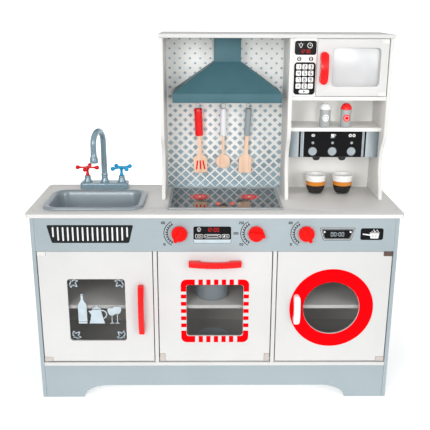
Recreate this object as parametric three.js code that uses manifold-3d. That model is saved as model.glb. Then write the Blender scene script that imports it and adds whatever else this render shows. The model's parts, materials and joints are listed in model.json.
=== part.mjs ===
// A wooden toy kitchen: three cabinets under a worktop, with a sink and tap, a hob under a hood,
// and a microwave, a spice shelf and a coffee machine in the tower on the right.
//
// Millimetres. X runs to the right as the child faces the kitchen, Z up from the floor, and Y back
// from the worktop's front edge. The outer group moves Y so that the origin is under the middle of
// the whole kitchen.
import * as THREE from "three";
import { mergeVertices } from "three/addons/utils/BufferGeometryUtils.js";
import { ConvexGeometry } from "three/addons/geometries/ConvexGeometry.js";
import Module from "manifold-3d";

// Driving dimensions ------------------------------------------------------------------------------
const BOARD = 9; // thickness of every painted board
const BACK_BOARD = 3; // thickness of the two back panels
const GAP = 0.3; // between pieces that touch
const ARC = 2; // half the segments of a rounded corner
const CURVE = 6; // segments of a long curve
const ROUND = 20; // segments of a small round piece

const WORKTOP = { width: 880, depth: 275, top: 484, corner: 12 };
const CABINET = { half: 431, front: 10, back: 265 }; // outer half width and the depths of its edges
const BACK_FACE = 251; // front face of both back panels
const DIVIDER = 142.2; // middle of each divider, either side of the middle
const FASCIA_BOTTOM = 390.4;
const BASE = { top: 97.3, bottom: 88.3 };
const PLINTH_ARCH = { top: 33, endAtFloor: 327, endAtTop: 266 };
const SHELF = { top: 247, front: 22 };

const DOOR = { half: 135.3, bottom: 101.4, top: 389.5 };
const BAY = 284.2; // middle of each outer cabinet, either side of the middle
const PIVOT_INSET = 4.5; // a door's pivot line from its edge, half the thickness of the door
const PIN = { radius: 2, inHole: 5, holeDepth: 6, clearance: 0.3 };
const HINGE = { long: 20, short: 11, oven: 13, proud: 0.8 };
const PANE = { thickness: 1.5, margin: 7, depth: 6 }; // depth of the rebate behind a door's face
const CUPBOARD_WINDOW = { left: -353.3, right: -215.5, bottom: 157, top: 319.5, corner: 7 };
const OVEN_WINDOW = { left: -68.5, right: 68.5, bottom: 170.1, top: 304.8, corner: 7 };
const WASHER_WINDOW = { x: 282, z: 244, radius: 68 };

const BOW = { reach: 23.5, endReach: 15, gapDepth: 11, pad: 27 }; // a bow handle, from the door's face
const CUPBOARD_HANDLE = { x: -177, z: 243.5, length: 126, width: 13.4 };
const OVEN_HANDLE = { x: 0, z: 361.3, length: 125, width: 14 };
const WASHER_HANDLE = { x: 197, z: 244, length: 74, width: 14.5, pad: 15 };

const KNOB = { z: 435, radius: 18.5, thick: 9, gripWidth: 10, gripReach: 21, gripHeel: 16, gripThick: 8,
  spindle: 3 };
const KNOBS = [
  { name: "knob_left", x: -83.5, turn: -122 },
  { name: "knob_middle", x: 96, turn: -10 },
  { name: "knob_right", x: 213.5, turn: -58 },
];

const SINK = { left: -411.5, right: -171, front: 31, back: 202, rim: 15, lip: 6, corner: 37, wall: 2.5,
  depth: 62, drain: 11, taper: 0.93 };
const TAP_BASE = { x: -288, y: 243, width: 126, depth: 38, height: 16, corner: 9 };
const TAP_CONE = { bottom: 11.5, top: 7, height: 17, apart: 44.5 };
const SPOUT = { radius: 8, archRadius: 31, archCentre: 608, turn: -15, nozzleTop: 580, nozzleEnd: 564,
  nozzleRadius: 11.5, pin: 4 };
const TAP_HANDLE = { stem: 5, stemTop: 24, arm: 3.2, armReach: 25.5, ball: 5.6, pin: 2.5 };

const HOB = { left: -112, right: 160.6, front: 36.5, back: 228, height: 4.5, corner: 6 };
const HOB_BUTTON = { y: 76, left: 8, right: 42, radius: 6, height: 2.6, bevel: 1.2 };
const HOB_SLOT = { left: -7, right: 57, front: 65, back: 91 }; // under the hob, for the sound unit

const UPRIGHTS = { bay_side_panel: -131, upper_divider: 173.4, upper_right_panel: 406.7 };
const UPRIGHT = { back: 265, front: 122, straightFrom: 654 };
const ROOF = { left: -132.2, right: 416.5, front: 117, bottom: 872.9 };
const MICROWAVE = { left: 182.4, right: 406.7, floor: 738.8, door: 237.5, doorRight: 404.4,
  windowLeft: 273.4, windowRight: 386.5, windowBottom: 762.7, windowTop: 851.7, corner: 9 };
const MICROWAVE_HANDLE = { x: 253, z: 805.5, length: 75, width: 18, pad: 17 };
const SPICE_SHELF = { top: 660, front: 148 };
const COFFEE = { front: 168, back: 177, bottom: 583, spoutWidth: 19, spoutBelow: 8, spouts: [253.5, 318] };

const HOOD = { left: -101.6, right: 159.7, front: 130, bottom: 722, bandTop: 744, slopeTop: 812.5,
  chimneyLeft: -2.5, chimneyRight: 63.5, chimneyFront: 200, wall: 3 };
const HOOKS = { x: [-42.7, 22.3, 87.3], y: 235, z: 713, peg: 2, tip: 5, strip: { front: 246, bottom: 706, top: 732 } };
const SLOT_LEAN = 10; // the outer slots of the turner lean out at the foot, in degrees
const LOOP = { outer: 6.5, inner: 4.7, thick: 2.4 };
const UTENSIL = { handleTop: -18, handle: 70, stemEnd: -138, thick: 4 }; // down from the hook
const CUP = { x: [259, 327.5], y: 193, side: [[16.5, 0], [21.6, 9], [24.7, 21], [26, 49]], floor: 4, wall: 2.2 };
const SHAKER = { x: [270, 321], y: 165, radius: 13.5, body: 43, cap: 15 };
const SAUCEPAN = { x: -7, y: 84, radius: 41, height: 46, wall: 2.5, grip: 78, gripRadius: 6 };

// Finishes ----------------------------------------------------------------------------------------
const finish = (color, roughness, metalness = 0) =>
  new THREE.MeshStandardMaterial({ color, roughness, metalness });
const WHITE = finish(0xf2f1ee, 0.45);
const GREY = finish(0x8d9da3, 0.5);
const TEAL = finish(0x4b7078, 0.5);
const RED = finish(0xd8232a, 0.35);
const BLUE = finish(0x1292c8, 0.3);
const STEEL_LOOK = finish(0x8b9aa1, 0.3, 0.3);
const BLACK = finish(0x15171a, 0.2);
const SMOKED = finish(0x3a3d42, 0.1);
const WOOD = finish(0xecc3a0, 0.6);
const CAP_WHITE = finish(0xf7f7f5, 0.4);

// Geometry helpers --------------------------------------------------------------------------------
const wasm = await Module();
wasm.setup();

const X = new THREE.Vector3(1, 0, 0);
const Y = new THREE.Vector3(0, 1, 0);
const Z = new THREE.Vector3(0, 0, 1);
const BACKWARDS = new THREE.Vector3(0, -1, 0);

// Turns a shape's own x and y to two directions of the kitchen; its depth follows by the right hand.
function turned(geometry, along, across) {
  const out = new THREE.Vector3().crossVectors(along, across);
  return geometry.applyMatrix4(new THREE.Matrix4().makeBasis(along, across, out));
}

const extrude = (shape, depth, curveSegments = ARC) =>
  new THREE.ExtrudeGeometry(shape, { depth, bevelEnabled: false, curveSegments });

// A shape drawn in X and Z, from the plane y = front back to y = front + depth.
const frontBoard = (shape, front, depth, segments) =>
  turned(extrude(shape, depth, segments), X, Z).translate(0, front + depth, 0);

// A shape drawn in Y and Z, from the plane x = left to x = left + width.
const sideBoard = (shape, left, width) =>
  turned(extrude(shape, width, CURVE), Y, Z).translate(left, 0, 0);

// A shape drawn in X and Y, from the plane z = bottom upwards.
const flatBoard = (shape, bottom, height) => extrude(shape, height).translate(0, 0, bottom);

function block(left, right, front, back, bottom, top) {
  return new THREE.BoxGeometry(right - left, back - front, top - bottom).translate(
    (left + right) / 2, (front + back) / 2, (bottom + top) / 2);
}

function polygon(points) {
  return new THREE.Shape(points.map(([a, b]) => new THREE.Vector2(a, b)));
}

function roundedRect(left, right, bottom, top, corner, PathType = THREE.Shape) {
  const path = new PathType();
  path.absarc(right - corner, bottom + corner, corner, -Math.PI / 2, 0);
  path.absarc(right - corner, top - corner, corner, 0, Math.PI / 2);
  path.absarc(left + corner, top - corner, corner, Math.PI / 2, Math.PI);
  path.absarc(left + corner, bottom + corner, corner, Math.PI, 1.5 * Math.PI);
  path.closePath();
  return path;
}

// A circle as a path with a vertex at each of its sides.
function circle(x, y, radius, sides, PathType = THREE.Shape) {
  const path = new PathType();
  path.moveTo(x + radius, y);
  for (let i = 1; i < sides; i += 1) {
    const angle = (i / sides) * 2 * Math.PI;
    path.lineTo(x + radius * Math.cos(angle), y + radius * Math.sin(angle));
  }
  path.closePath();
  return path;
}

// A cylinder or cone along the Z axis from z = bottom to z = top.
const rod = (bottomRadius, bottom, top, topRadius = bottomRadius, sides = ROUND) =>
  new THREE.CylinderGeometry(topRadius, bottomRadius, top - bottom, sides)
    .rotateX(Math.PI / 2)
    .translate(0, 0, (top + bottom) / 2);

// The same along the Y axis from y = front to y = back, and along the X axis from left to right.
const rodY = (radius, front, back, sides = ROUND) =>
  new THREE.CylinderGeometry(radius, radius, back - front, sides).translate(0, (front + back) / 2, 0);
const rodX = (radius, left, right, sides = ROUND) =>
  new THREE.CylinderGeometry(radius, radius, right - left, sides)
    .rotateZ(Math.PI / 2)
    .translate((left + right) / 2, 0, 0);

// A profile of [radius, height] pairs turned about the Z axis.
const turnedProfile = (pairs, sides = 28) =>
  new THREE.LatheGeometry(pairs.map(([r, z]) => new THREE.Vector2(r, z)), sides).rotateX(Math.PI / 2);

function solidOf(geometry) {
  const bare = geometry.clone();
  bare.deleteAttribute("normal");
  bare.deleteAttribute("uv");
  const merged = mergeVertices(bare, 1e-4);
  const mesh = new wasm.Mesh({
    numProp: 3,
    vertProperties: new Float32Array(merged.getAttribute("position").array),
    triVerts: new Uint32Array(merged.index.array),
  });
  return new wasm.Manifold(mesh);
}

function geometryOf(solid) {
  const mesh = solid.getMesh();
  const geometry = new THREE.BufferGeometry();
  geometry.setAttribute("position", new THREE.BufferAttribute(mesh.vertProperties, 3));
  geometry.setIndex(new THREE.BufferAttribute(mesh.triVerts, 1));
  geometry.computeVertexNormals();
  return geometry;
}

const cut = (first, ...tools) =>
  geometryOf(tools.reduce((solid, tool) => solid.subtract(solidOf(tool)), solidOf(first)));
const join = (first, ...others) =>
  geometryOf(others.reduce((solid, other) => solid.add(solidOf(other)), solidOf(first)));
const common = (first, second) => geometryOf(solidOf(first).intersect(solidOf(second)));

const degrees = THREE.MathUtils.degToRad;

const kitchen = new THREE.Group();

function add(name, geometry, material, x = 0, y = 0, z = 0) {
  const mesh = new THREE.Mesh(geometry, material);
  mesh.name = name;
  mesh.position.set(x, y, z);
  kitchen.add(mesh);
  return mesh;
}

// Cabinet -----------------------------------------------------------------------------------------
const INNER = CABINET.half - BOARD; // inner face of each side panel
const WORKTOP_BOTTOM = WORKTOP.top - BOARD;
const BOARD_TOP = WORKTOP_BOTTOM - GAP; // top of the boards that carry the worktop
const DOOR_BACK = CABINET.front + BOARD;
const PIVOT_Y = CABINET.front + BOARD / 2;

const pinHoleRadius = PIN.radius + PIN.clearance;

function cabinetBoards() {
  const panel = [CABINET.front, CABINET.back, 0, BOARD_TOP];
  add("left_side_panel", block(-CABINET.half, -INNER, ...panel), GREY);
  add("right_side_panel", block(INNER, CABINET.half, ...panel), GREY);

  // Each divider stands on the base and is notched at its top front corner for the fascia.
  const outline = polygon([
    [CABINET.front, BASE.top + GAP],
    [BACK_FACE - GAP, BASE.top + GAP],
    [BACK_FACE - GAP, BOARD_TOP],
    [DOOR_BACK + GAP, BOARD_TOP],
    [DOOR_BACK + GAP, FASCIA_BOTTOM - GAP],
    [CABINET.front, FASCIA_BOTTOM - GAP],
  ]);
  for (const [name, side] of [["left_divider", -1], ["right_divider", 1]]) {
    const middle = side * DIVIDER;
    const face = side * (DIVIDER - BOARD / 2); // the face towards the oven
    const hole = rodX(pinHoleRadius, 0, PIN.holeDepth + 1, 10)
      .translate(side > 0 ? face - 1 : face - PIN.holeDepth, PIVOT_Y, DOOR.bottom + PIVOT_INSET);
    add(name, cut(sideBoard(outline, middle - BOARD / 2, BOARD), hole), WHITE);
  }

  const pinHoles = (bottom, top) => [-1, 1].map((side) =>
    rod(pinHoleRadius, bottom, top, pinHoleRadius, 10)
      .translate(side * (BAY + DOOR.half - PIVOT_INSET), PIVOT_Y, 0));
  const base = block(-INNER + GAP, INNER - GAP, CABINET.front, BACK_FACE - GAP, BASE.bottom, BASE.top);
  add("base_panel", cut(base, ...pinHoles(BASE.top - PIN.holeDepth, BASE.top + 1)), WHITE);

  const fascia = block(-INNER + GAP, INNER - GAP, CABINET.front, DOOR_BACK, FASCIA_BOTTOM, BOARD_TOP);
  const spindleHoles = KNOBS.map((knob) =>
    rodY(KNOB.spindle + GAP, CABINET.front - 1, DOOR_BACK + 1, 14).translate(knob.x, 0, KNOB.z));
  add("control_fascia",
    cut(fascia, ...spindleHoles, ...pinHoles(FASCIA_BOTTOM - 1, FASCIA_BOTTOM + PIN.holeDepth)), GREY);

  const top = BASE.bottom - GAP;
  const arch = PLINTH_ARCH;
  const plinth = new THREE.Shape();
  plinth.moveTo(-INNER + GAP, 0);
  plinth.lineTo(-arch.endAtFloor, 0);
  plinth.absellipse(-arch.endAtTop, 0, arch.endAtFloor - arch.endAtTop, arch.top, Math.PI, Math.PI / 2, true);
  plinth.absellipse(arch.endAtTop, 0, arch.endAtFloor - arch.endAtTop, arch.top, Math.PI / 2, 0, true);
  plinth.lineTo(INNER - GAP, 0);
  plinth.lineTo(INNER - GAP, top);
  plinth.lineTo(-INNER + GAP, top);
  add("plinth_board", frontBoard(plinth, CABINET.front, BOARD, CURVE / 2), GREY);

  const dividerOuter = DIVIDER + BOARD / 2;
  const dividerInner = DIVIDER - BOARD / 2;
  const shelf = [SHELF.front, BACK_FACE - GAP, SHELF.top - BOARD, SHELF.top];
  add("cupboard_shelf", block(-INNER + GAP, -dividerOuter - GAP, ...shelf), WHITE);
  add("oven_shelf", block(-dividerInner + GAP, dividerInner - GAP, ...shelf), WHITE);
  add("washer_shelf", block(dividerOuter + GAP, INNER - GAP, ...shelf), WHITE);

  add("lower_back_panel",
    block(-INNER + GAP, INNER - GAP, BACK_FACE, BACK_FACE + BACK_BOARD, BASE.bottom, BOARD_TOP), WHITE);
}

function worktop() {
  const half = WORKTOP.width / 2;
  const outline = roundedRect(-half, half, 0, WORKTOP.depth, WORKTOP.corner);
  const inset = SINK.rim - SINK.wall; // the bowl drops through the worktop inside the rim
  outline.holes.push(
    roundedRect(SINK.left + inset - 1, SINK.right - inset + 1, SINK.front + inset - 1, SINK.back - inset + 1,
      SINK.corner - inset + 1, THREE.Path),
    roundedRect(HOB_SLOT.left, HOB_SLOT.right, HOB_SLOT.front, HOB_SLOT.back, 3, THREE.Path));
  add("worktop", flatBoard(outline, WORKTOP_BOTTOM, BOARD), WHITE);
}

// Doors, their windows, handles and hinges --------------------------------------------------------
const doorOutline = (middle) => [middle - DOOR.half, middle + DOOR.half, DOOR.bottom, DOOR.top];

// A hinge block fills a notch in the door's corner. It spans left to right and bottom to top there.
const hingeBlock = (left, right, bottom, top) =>
  block(left, right, CABINET.front - HINGE.proud, DOOR_BACK, bottom, top);

// A pane lies in a rebate behind its door's face, wider than the pane by the gap all round.
const PANE_FRONT = CABINET.front + PANE.depth + GAP;
const rebate = (outline) => frontBoard(outline, CABINET.front + PANE.depth, BOARD);

// A board with a window hole, its rebate, and notches for the two hinge blocks.
function doorBoard(middle, hole, rebateOutline, notches) {
  const [left, right, bottom, top] = doorOutline(middle);
  const outline = polygon([[left, bottom], [right, bottom], [right, top], [left, top]]);
  outline.holes.push(hole);
  const tools = notches.map(([a, b, c, d]) => block(a, b, CABINET.front - 1, DOOR_BACK + 1, c, d));
  return cut(frontBoard(outline, CABINET.front, BOARD), rebate(rebateOutline), ...tools);
}

// A window's outline with its edge moved out all round.
const widened = (w, by) =>
  roundedRect(w.left - by, w.right + by, w.bottom - by, w.top + by, w.corner + by);

// Side-hinged doors: side is -1 for a hinge on the left, 1 for one on the right.
function sideHinges(prefix, middle, side) {
  const edge = middle + side * DOOR.half;
  const inner = edge - side * HINGE.long;
  const span = [Math.min(edge, inner), Math.max(edge, inner)];
  const pivot = edge - side * PIVOT_INSET;
  const topSpan = [DOOR.top - HINGE.short, DOOR.top];
  const bottomSpan = [DOOR.bottom, DOOR.bottom + HINGE.short];
  const pinUp = rod(PIN.radius, DOOR.top - 2, FASCIA_BOTTOM + PIN.inHole, PIN.radius, 10);
  const pinDown = rod(PIN.radius, BASE.top - PIN.inHole, DOOR.bottom + 2, PIN.radius, 10);
  add(`${prefix}_hinge_top`,
    join(hingeBlock(...span, ...topSpan), pinUp.translate(pivot, PIVOT_Y, 0)), CAP_WHITE);
  add(`${prefix}_hinge_bottom`,
    join(hingeBlock(...span, ...bottomSpan), pinDown.translate(pivot, PIVOT_Y, 0)), CAP_WHITE);
  // The notch is larger than the block by the gap on its two inner sides, and open at the corner.
  const notchSpan = side < 0 ? [span[0] - 1, span[1] + GAP] : [span[0] - GAP, span[1] + 1];
  return [
    [...notchSpan, topSpan[0] - GAP, topSpan[1] + 1],
    [...notchSpan, bottomSpan[0] - 1, bottomSpan[1] + GAP],
  ];
}

// A bow handle's side profile: shape x runs along the handle, shape y out from the door.
function bowProfile(length, pad) {
  const half = length / 2;
  const corner = 3;
  const { reach, endReach, gapDepth } = BOW;
  const crown = 2 * reach - endReach; // control point that carries the curve to its reach
  const bow = new THREE.Shape();
  bow.moveTo(-half, 0);
  bow.lineTo(-half, endReach - corner);
  bow.quadraticCurveTo(-half, endReach, -half + corner, endReach);
  bow.quadraticCurveTo(0, crown, half - corner, endReach);
  bow.quadraticCurveTo(half, endReach, half, endReach - corner);
  bow.lineTo(half, 0);
  bow.lineTo(half - pad, 0);
  bow.quadraticCurveTo(half - pad - corner, gapDepth * 0.8, half - pad - 3 * corner, gapDepth * 0.86);
  bow.quadraticCurveTo(0, gapDepth * 1.25, -half + pad + 3 * corner, gapDepth * 0.86);
  bow.quadraticCurveTo(-half + pad + corner, gapDepth * 0.8, -half + pad, 0);
  bow.closePath();
  return bow;
}

// The handle stands on the plane y = face, along X or Z, with its middle at the origin.
function bowHandle(direction, { length, width, pad = BOW.pad }) {
  const bow = extrude(bowProfile(length, pad), width, CURVE).translate(0, 0, -width / 2);
  return turned(bow, direction, BACKWARDS);
}

// The same with its plan rounded to a pill.
function pillHandle(spec) {
  const half = spec.width / 2;
  const pill = roundedRect(-half, half, -spec.length / 2, spec.length / 2, half - 0.01);
  return common(bowHandle(Z, spec), frontBoard(pill, -BOW.reach - 5, BOW.reach + 10));
}

function cupboardDoor() {
  const w = CUPBOARD_WINDOW;
  const hole = roundedRect(w.left, w.right, w.bottom, w.top, w.corner, THREE.Path);
  const notches = sideHinges("cupboard", -BAY, -1);
  add("cupboard_door", doorBoard(-BAY, hole, widened(w, PANE.margin + GAP), notches), WHITE);
  add("cupboard_window", frontBoard(widened(w, PANE.margin), PANE_FRONT, PANE.thickness), SMOKED);
  add("cupboard_handle", bowHandle(Z, CUPBOARD_HANDLE), RED,
    CUPBOARD_HANDLE.x, CABINET.front - GAP, CUPBOARD_HANDLE.z);
}

function ovenDoor() {
  const w = OVEN_WINDOW;
  const hole = roundedRect(w.left, w.right, w.bottom, w.top, w.corner, THREE.Path);
  const notches = [];
  for (const [name, side] of [["oven_hinge_left", -1], ["oven_hinge_right", 1]]) {
    const edge = side * DOOR.half;
    const inner = edge - side * HINGE.oven;
    const span = [Math.min(edge, inner), Math.max(edge, inner)];
    const reach = DIVIDER - BOARD / 2 + PIN.inHole; // the pin's end inside the divider
    const pin = rodX(PIN.radius, DOOR.half - 2, reach, 10)
      .translate(side > 0 ? 0 : -(DOOR.half - 2 + reach), PIVOT_Y, DOOR.bottom + PIVOT_INSET);
    add(name, join(hingeBlock(...span, DOOR.bottom, DOOR.bottom + HINGE.long), pin), CAP_WHITE);
    const notchSpan = side < 0 ? [span[0] - 1, span[1] + GAP] : [span[0] - GAP, span[1] + 1];
    notches.push([...notchSpan, DOOR.bottom - 1, DOOR.bottom + HINGE.long + GAP]);
  }
  add("oven_door", doorBoard(0, hole, widened(w, PANE.margin + GAP), notches), WHITE);
  add("oven_window", frontBoard(widened(w, PANE.margin), PANE_FRONT, PANE.thickness), SMOKED);
  add("oven_handle", bowHandle(X, OVEN_HANDLE), RED, OVEN_HANDLE.x, CABINET.front - GAP, OVEN_HANDLE.z);
}

function washerDoor() {
  const w = WASHER_WINDOW;
  const notches = sideHinges("washer", BAY, 1);
  const seat = circle(w.x, w.z, w.radius + PANE.margin + GAP, 40);
  add("washer_door", doorBoard(BAY, circle(w.x, w.z, w.radius, 40, THREE.Path), seat, notches), WHITE);
  const pane = rodY(w.radius + PANE.margin, 0, PANE.thickness, 40);
  add("washer_window", pane, SMOKED, w.x, PANE_FRONT, w.z);
  add("washer_handle", pillHandle(WASHER_HANDLE), WHITE,
    WASHER_HANDLE.x, CABINET.front - GAP, WASHER_HANDLE.z);
}

// Knobs: each turns on a spindle through the fascia, held behind it by a collar -----------------
function knobs() {
  const face = CABINET.front - GAP;
  for (const { name, x, turn } of KNOBS) {
    const disc = rodY(KNOB.radius, face - KNOB.thick, face, 28);
    const grip = block(-KNOB.gripHeel, KNOB.gripReach, face - KNOB.thick - KNOB.gripThick,
      face - KNOB.thick + 1, -KNOB.gripWidth / 2, KNOB.gripWidth / 2).rotateY(degrees(-turn));
    const spindle = rodY(KNOB.spindle, face - 1, DOOR_BACK + 4, 14);
    const collar = rodY(KNOB.spindle + 3, DOOR_BACK + GAP, DOOR_BACK + 3, 14);
    add(name, join(disc, grip, spindle, collar), RED, x, 0, KNOB.z);
  }
}

// Sink and tap ------------------------------------------------------------------------------------
// The bowl narrows towards its floor: a stack of the outline, scaled about its middle.
function sinkBowl(inset, bottom, top) {
  const width = SINK.right - SINK.left - 2 * inset;
  const depth = SINK.back - SINK.front - 2 * inset;
  const corner = SINK.corner - inset;
  const outline = roundedRect(-width / 2, width / 2, -depth / 2, depth / 2, corner);
  const bowl = extrude(outline, top - bottom);
  const position = bowl.getAttribute("position");
  for (let i = 0; i < position.count; i += 1) {
    const scale = position.getZ(i) < 0.5 ? SINK.taper : 1;
    position.setXY(i, position.getX(i) * scale, position.getY(i) * scale);
  }
  return bowl.translate((SINK.left + SINK.right) / 2, (SINK.front + SINK.back) / 2, bottom);
}

function sink() {
  const { left, right, front, back, rim, lip, corner, wall, depth } = SINK;
  const top = WORKTOP.top + GAP + lip;
  const bottom = WORKTOP.top - depth;
  const rimPlate = flatBoard(roundedRect(left, right, front, back, corner), WORKTOP.top + GAP, lip);
  const bowl = sinkBowl(rim - wall, bottom, top);
  const hollow = sinkBowl(rim, bottom + wall, top + 1);
  const drain = rod(SINK.drain, bottom - 1, bottom + wall + 1)
    .translate((left + right) / 2, (front + back) / 2, 0);
  add("sink_basin", geometryOf(solidOf(join(rimPlate, bowl)).subtract(solidOf(hollow))
    .subtract(solidOf(drain))), STEEL_LOOK);
}

function tap() {
  const { x, y, width, depth, height, corner } = TAP_BASE;
  const bottom = WORKTOP.top + GAP;
  const top = bottom + height;
  const outline = roundedRect(x - width / 2, x + width / 2, y - depth / 2, y + depth / 2, corner);
  const places = [-1, 0, 1].map((side) => x + side * TAP_CONE.apart);
  const cones = places.map((at) =>
    rod(TAP_CONE.bottom, top - 1, top + TAP_CONE.height, TAP_CONE.top).translate(at, y, 0));
  const pins = [TAP_HANDLE.pin, SPOUT.pin, TAP_HANDLE.pin];
  const holes = places.map((at, i) => rod(pins[i] + GAP, top, top + TAP_CONE.height + 1).translate(at, y, 0));
  const plate = join(flatBoard(outline, bottom, height), ...cones);
  add("faucet_base", cut(plate, ...holes), STEEL_LOOK);

  // The spout: up, over in a half circle, and down to a flared nozzle. It turns on a pin.
  const seat = top + TAP_CONE.height + GAP;
  const forward = new THREE.Vector3(0, -1, 0).applyAxisAngle(Z, degrees(SPOUT.turn));
  const arch = new THREE.Curve();
  arch.getPoint = (t) => {
    const angle = Math.PI * t;
    const along = SPOUT.archRadius * (1 - Math.cos(angle));
    return new THREE.Vector3(forward.x * along, forward.y * along,
      SPOUT.archCentre + SPOUT.archRadius * Math.sin(angle));
  };
  const bend = new THREE.ExtrudeGeometry(circle(0, 0, SPOUT.radius, 14),
    { steps: 10, extrudePath: arch, bevelEnabled: false });
  const over = 2 * SPOUT.archRadius;
  const column = rod(SPOUT.radius, seat, SPOUT.archCentre + 0.5, SPOUT.radius, 14);
  const drop = rod(SPOUT.radius, SPOUT.nozzleTop - 2, SPOUT.archCentre + 0.5, SPOUT.radius, 14)
    .translate(forward.x * over, forward.y * over, 0);
  const nozzle = rod(SPOUT.nozzleRadius, SPOUT.nozzleEnd, SPOUT.nozzleTop, SPOUT.radius)
    .translate(forward.x * over, forward.y * over, 0);
  const pin = rod(SPOUT.pin, top + GAP, seat + 1, SPOUT.pin, 12);
  add("faucet_spout", join(column, bend, drop, nozzle, pin), STEEL_LOOK, x, y, 0);

  // Cross handles with a ball on each arm.
  for (const [name, side, turn, material] of [["hot_tap_handle", -1, -4, RED], ["cold_tap_handle", 1, 38, BLUE]]) {
    const stem = rod(TAP_HANDLE.stem, 0, TAP_HANDLE.stemTop, TAP_HANDLE.stem, 14);
    const stub = rod(TAP_HANDLE.pin, -TAP_CONE.height + 2, 1, TAP_HANDLE.pin, 10);
    const armHeight = TAP_HANDLE.stemTop - TAP_HANDLE.arm;
    const pieces = [];
    for (const angle of [0, 90]) {
      const arm = rodX(TAP_HANDLE.arm, -TAP_HANDLE.armReach, TAP_HANDLE.armReach, 8);
      pieces.push(arm.rotateZ(degrees(angle + turn)).translate(0, 0, armHeight));
      for (const end of [-1, 1]) {
        pieces.push(new THREE.SphereGeometry(TAP_HANDLE.ball, 8, 6)
          .translate(end * TAP_HANDLE.armReach, 0, 0)
          .rotateZ(degrees(angle + turn)).translate(0, 0, armHeight));
      }
    }
    add(name, join(stem, stub, ...pieces), material, x + side * TAP_CONE.apart, y, seat);
  }
}

// Hob and its two buttons -------------------------------------------------------------------------
function hob() {
  const bottom = WORKTOP.top + GAP;
  const outline = roundedRect(HOB.left, HOB.right, HOB.front, HOB.back, HOB.corner);
  for (const x of [HOB_BUTTON.left, HOB_BUTTON.right])
    outline.holes.push(circle(x, HOB_BUTTON.y, HOB_BUTTON.radius + GAP, ROUND, THREE.Path));
  add("hob", flatBoard(outline, bottom, HOB.height), BLACK);
  const top = bottom + HOB.height;
  for (const [name, x] of [["hob_button_left", HOB_BUTTON.left], ["hob_button_right", HOB_BUTTON.right]]) {
    const { radius, height, bevel } = HOB_BUTTON;
    const profile = [[0, -BOARD], [radius, -BOARD], [radius, height - bevel], [radius - bevel, height], [0, height]];
    add(name, turnedProfile(profile, 16), RED, x, HOB_BUTTON.y, top);
  }
}

// Upper unit --------------------------------------------------------------------------------------
// The uprights' front edge scoops back above the worktop: a deep bight behind the hob.
function uprightOutline() {
  const bottom = WORKTOP.top + GAP;
  const top = ROOF.bottom - GAP;
  const edge = new THREE.Shape();
  edge.moveTo(UPRIGHT.back, bottom);
  edge.lineTo(UPRIGHT.back, top);
  edge.lineTo(UPRIGHT.front, top);
  edge.lineTo(UPRIGHT.front, UPRIGHT.straightFrom);
  edge.bezierCurveTo(UPRIGHT.front, 622, 151, 624, 152, 577);
  edge.bezierCurveTo(151.5, 536, 134, 520, 130, 498);
  edge.bezierCurveTo(128.5, 489, 126, bottom + 2, 124, bottom);
  edge.closePath();
  return edge;
}

function upperUnit() {
  for (const [name, left] of Object.entries(UPRIGHTS)) {
    add(name, sideBoard(uprightOutline(), left, BOARD), WHITE);
  }
  const { bay_side_panel: bayLeft, upper_divider: middle, upper_right_panel: right } = UPRIGHTS;

  const pivotX = MICROWAVE.doorRight - PIVOT_INSET;
  const pinHole = (bottom, top) => rod(pinHoleRadius, bottom, top, pinHoleRadius, 10)
    .translate(pivotX, UPRIGHT.front + BOARD / 2, 0);
  const roof = block(ROOF.left, ROOF.right, ROOF.front, UPRIGHT.back + 3, ROOF.bottom, ROOF.bottom + BOARD);
  add("roof_panel", cut(roof, pinHole(ROOF.bottom - 1, ROOF.bottom + PIN.holeDepth)), WHITE);

  // The back panel runs behind the bay and the tower, so the middle upright is notched for it.
  const panelTop = ROOF.bottom - GAP;
  const inBay = [bayLeft + BOARD + GAP, right - GAP];
  const back = block(...inBay, BACK_FACE, BACK_FACE + BACK_BOARD, WORKTOP.top + GAP, panelTop);
  add("upper_back_panel", back, WHITE);
  const divider = kitchen.getObjectByName("upper_divider");
  divider.geometry = cut(divider.geometry,
    block(middle - 1, middle + BOARD + 1, BACK_FACE - GAP, UPRIGHT.back + 1, WORKTOP.top, ROOF.bottom));

  const inside = [middle + BOARD + GAP, right - GAP];
  const floor = block(...inside, UPRIGHT.front, BACK_FACE - GAP, MICROWAVE.floor - BOARD, MICROWAVE.floor);
  add("microwave_floor", cut(floor, pinHole(MICROWAVE.floor - PIN.holeDepth, MICROWAVE.floor + 1)), WHITE);
  add("spice_shelf",
    block(...inside, SPICE_SHELF.front, BACK_FACE - GAP, SPICE_SHELF.top - BOARD, SPICE_SHELF.top), WHITE);
  add("keypad_panel", block(inside[0], MICROWAVE.door - 1, UPRIGHT.front, UPRIGHT.front + BOARD,
    MICROWAVE.floor + GAP, ROOF.bottom - GAP), WHITE);

  // The coffee machine's front, with a rounded spout over each cup.
  const panel = block(...inside, COFFEE.front, COFFEE.back, COFFEE.bottom, SPICE_SHELF.top - BOARD - GAP);
  const half = COFFEE.spoutWidth / 2;
  const spouts = COFFEE.spouts.map((x) => {
    const tongue = roundedRect(x - half, x + half, COFFEE.bottom - COFFEE.spoutBelow, COFFEE.bottom + 14,
      COFFEE.spoutBelow - 0.5);
    return frontBoard(tongue, COFFEE.front - 3, BOARD);
  });
  add("coffee_panel", join(panel, ...spouts), STEEL_LOOK);
}

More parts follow.
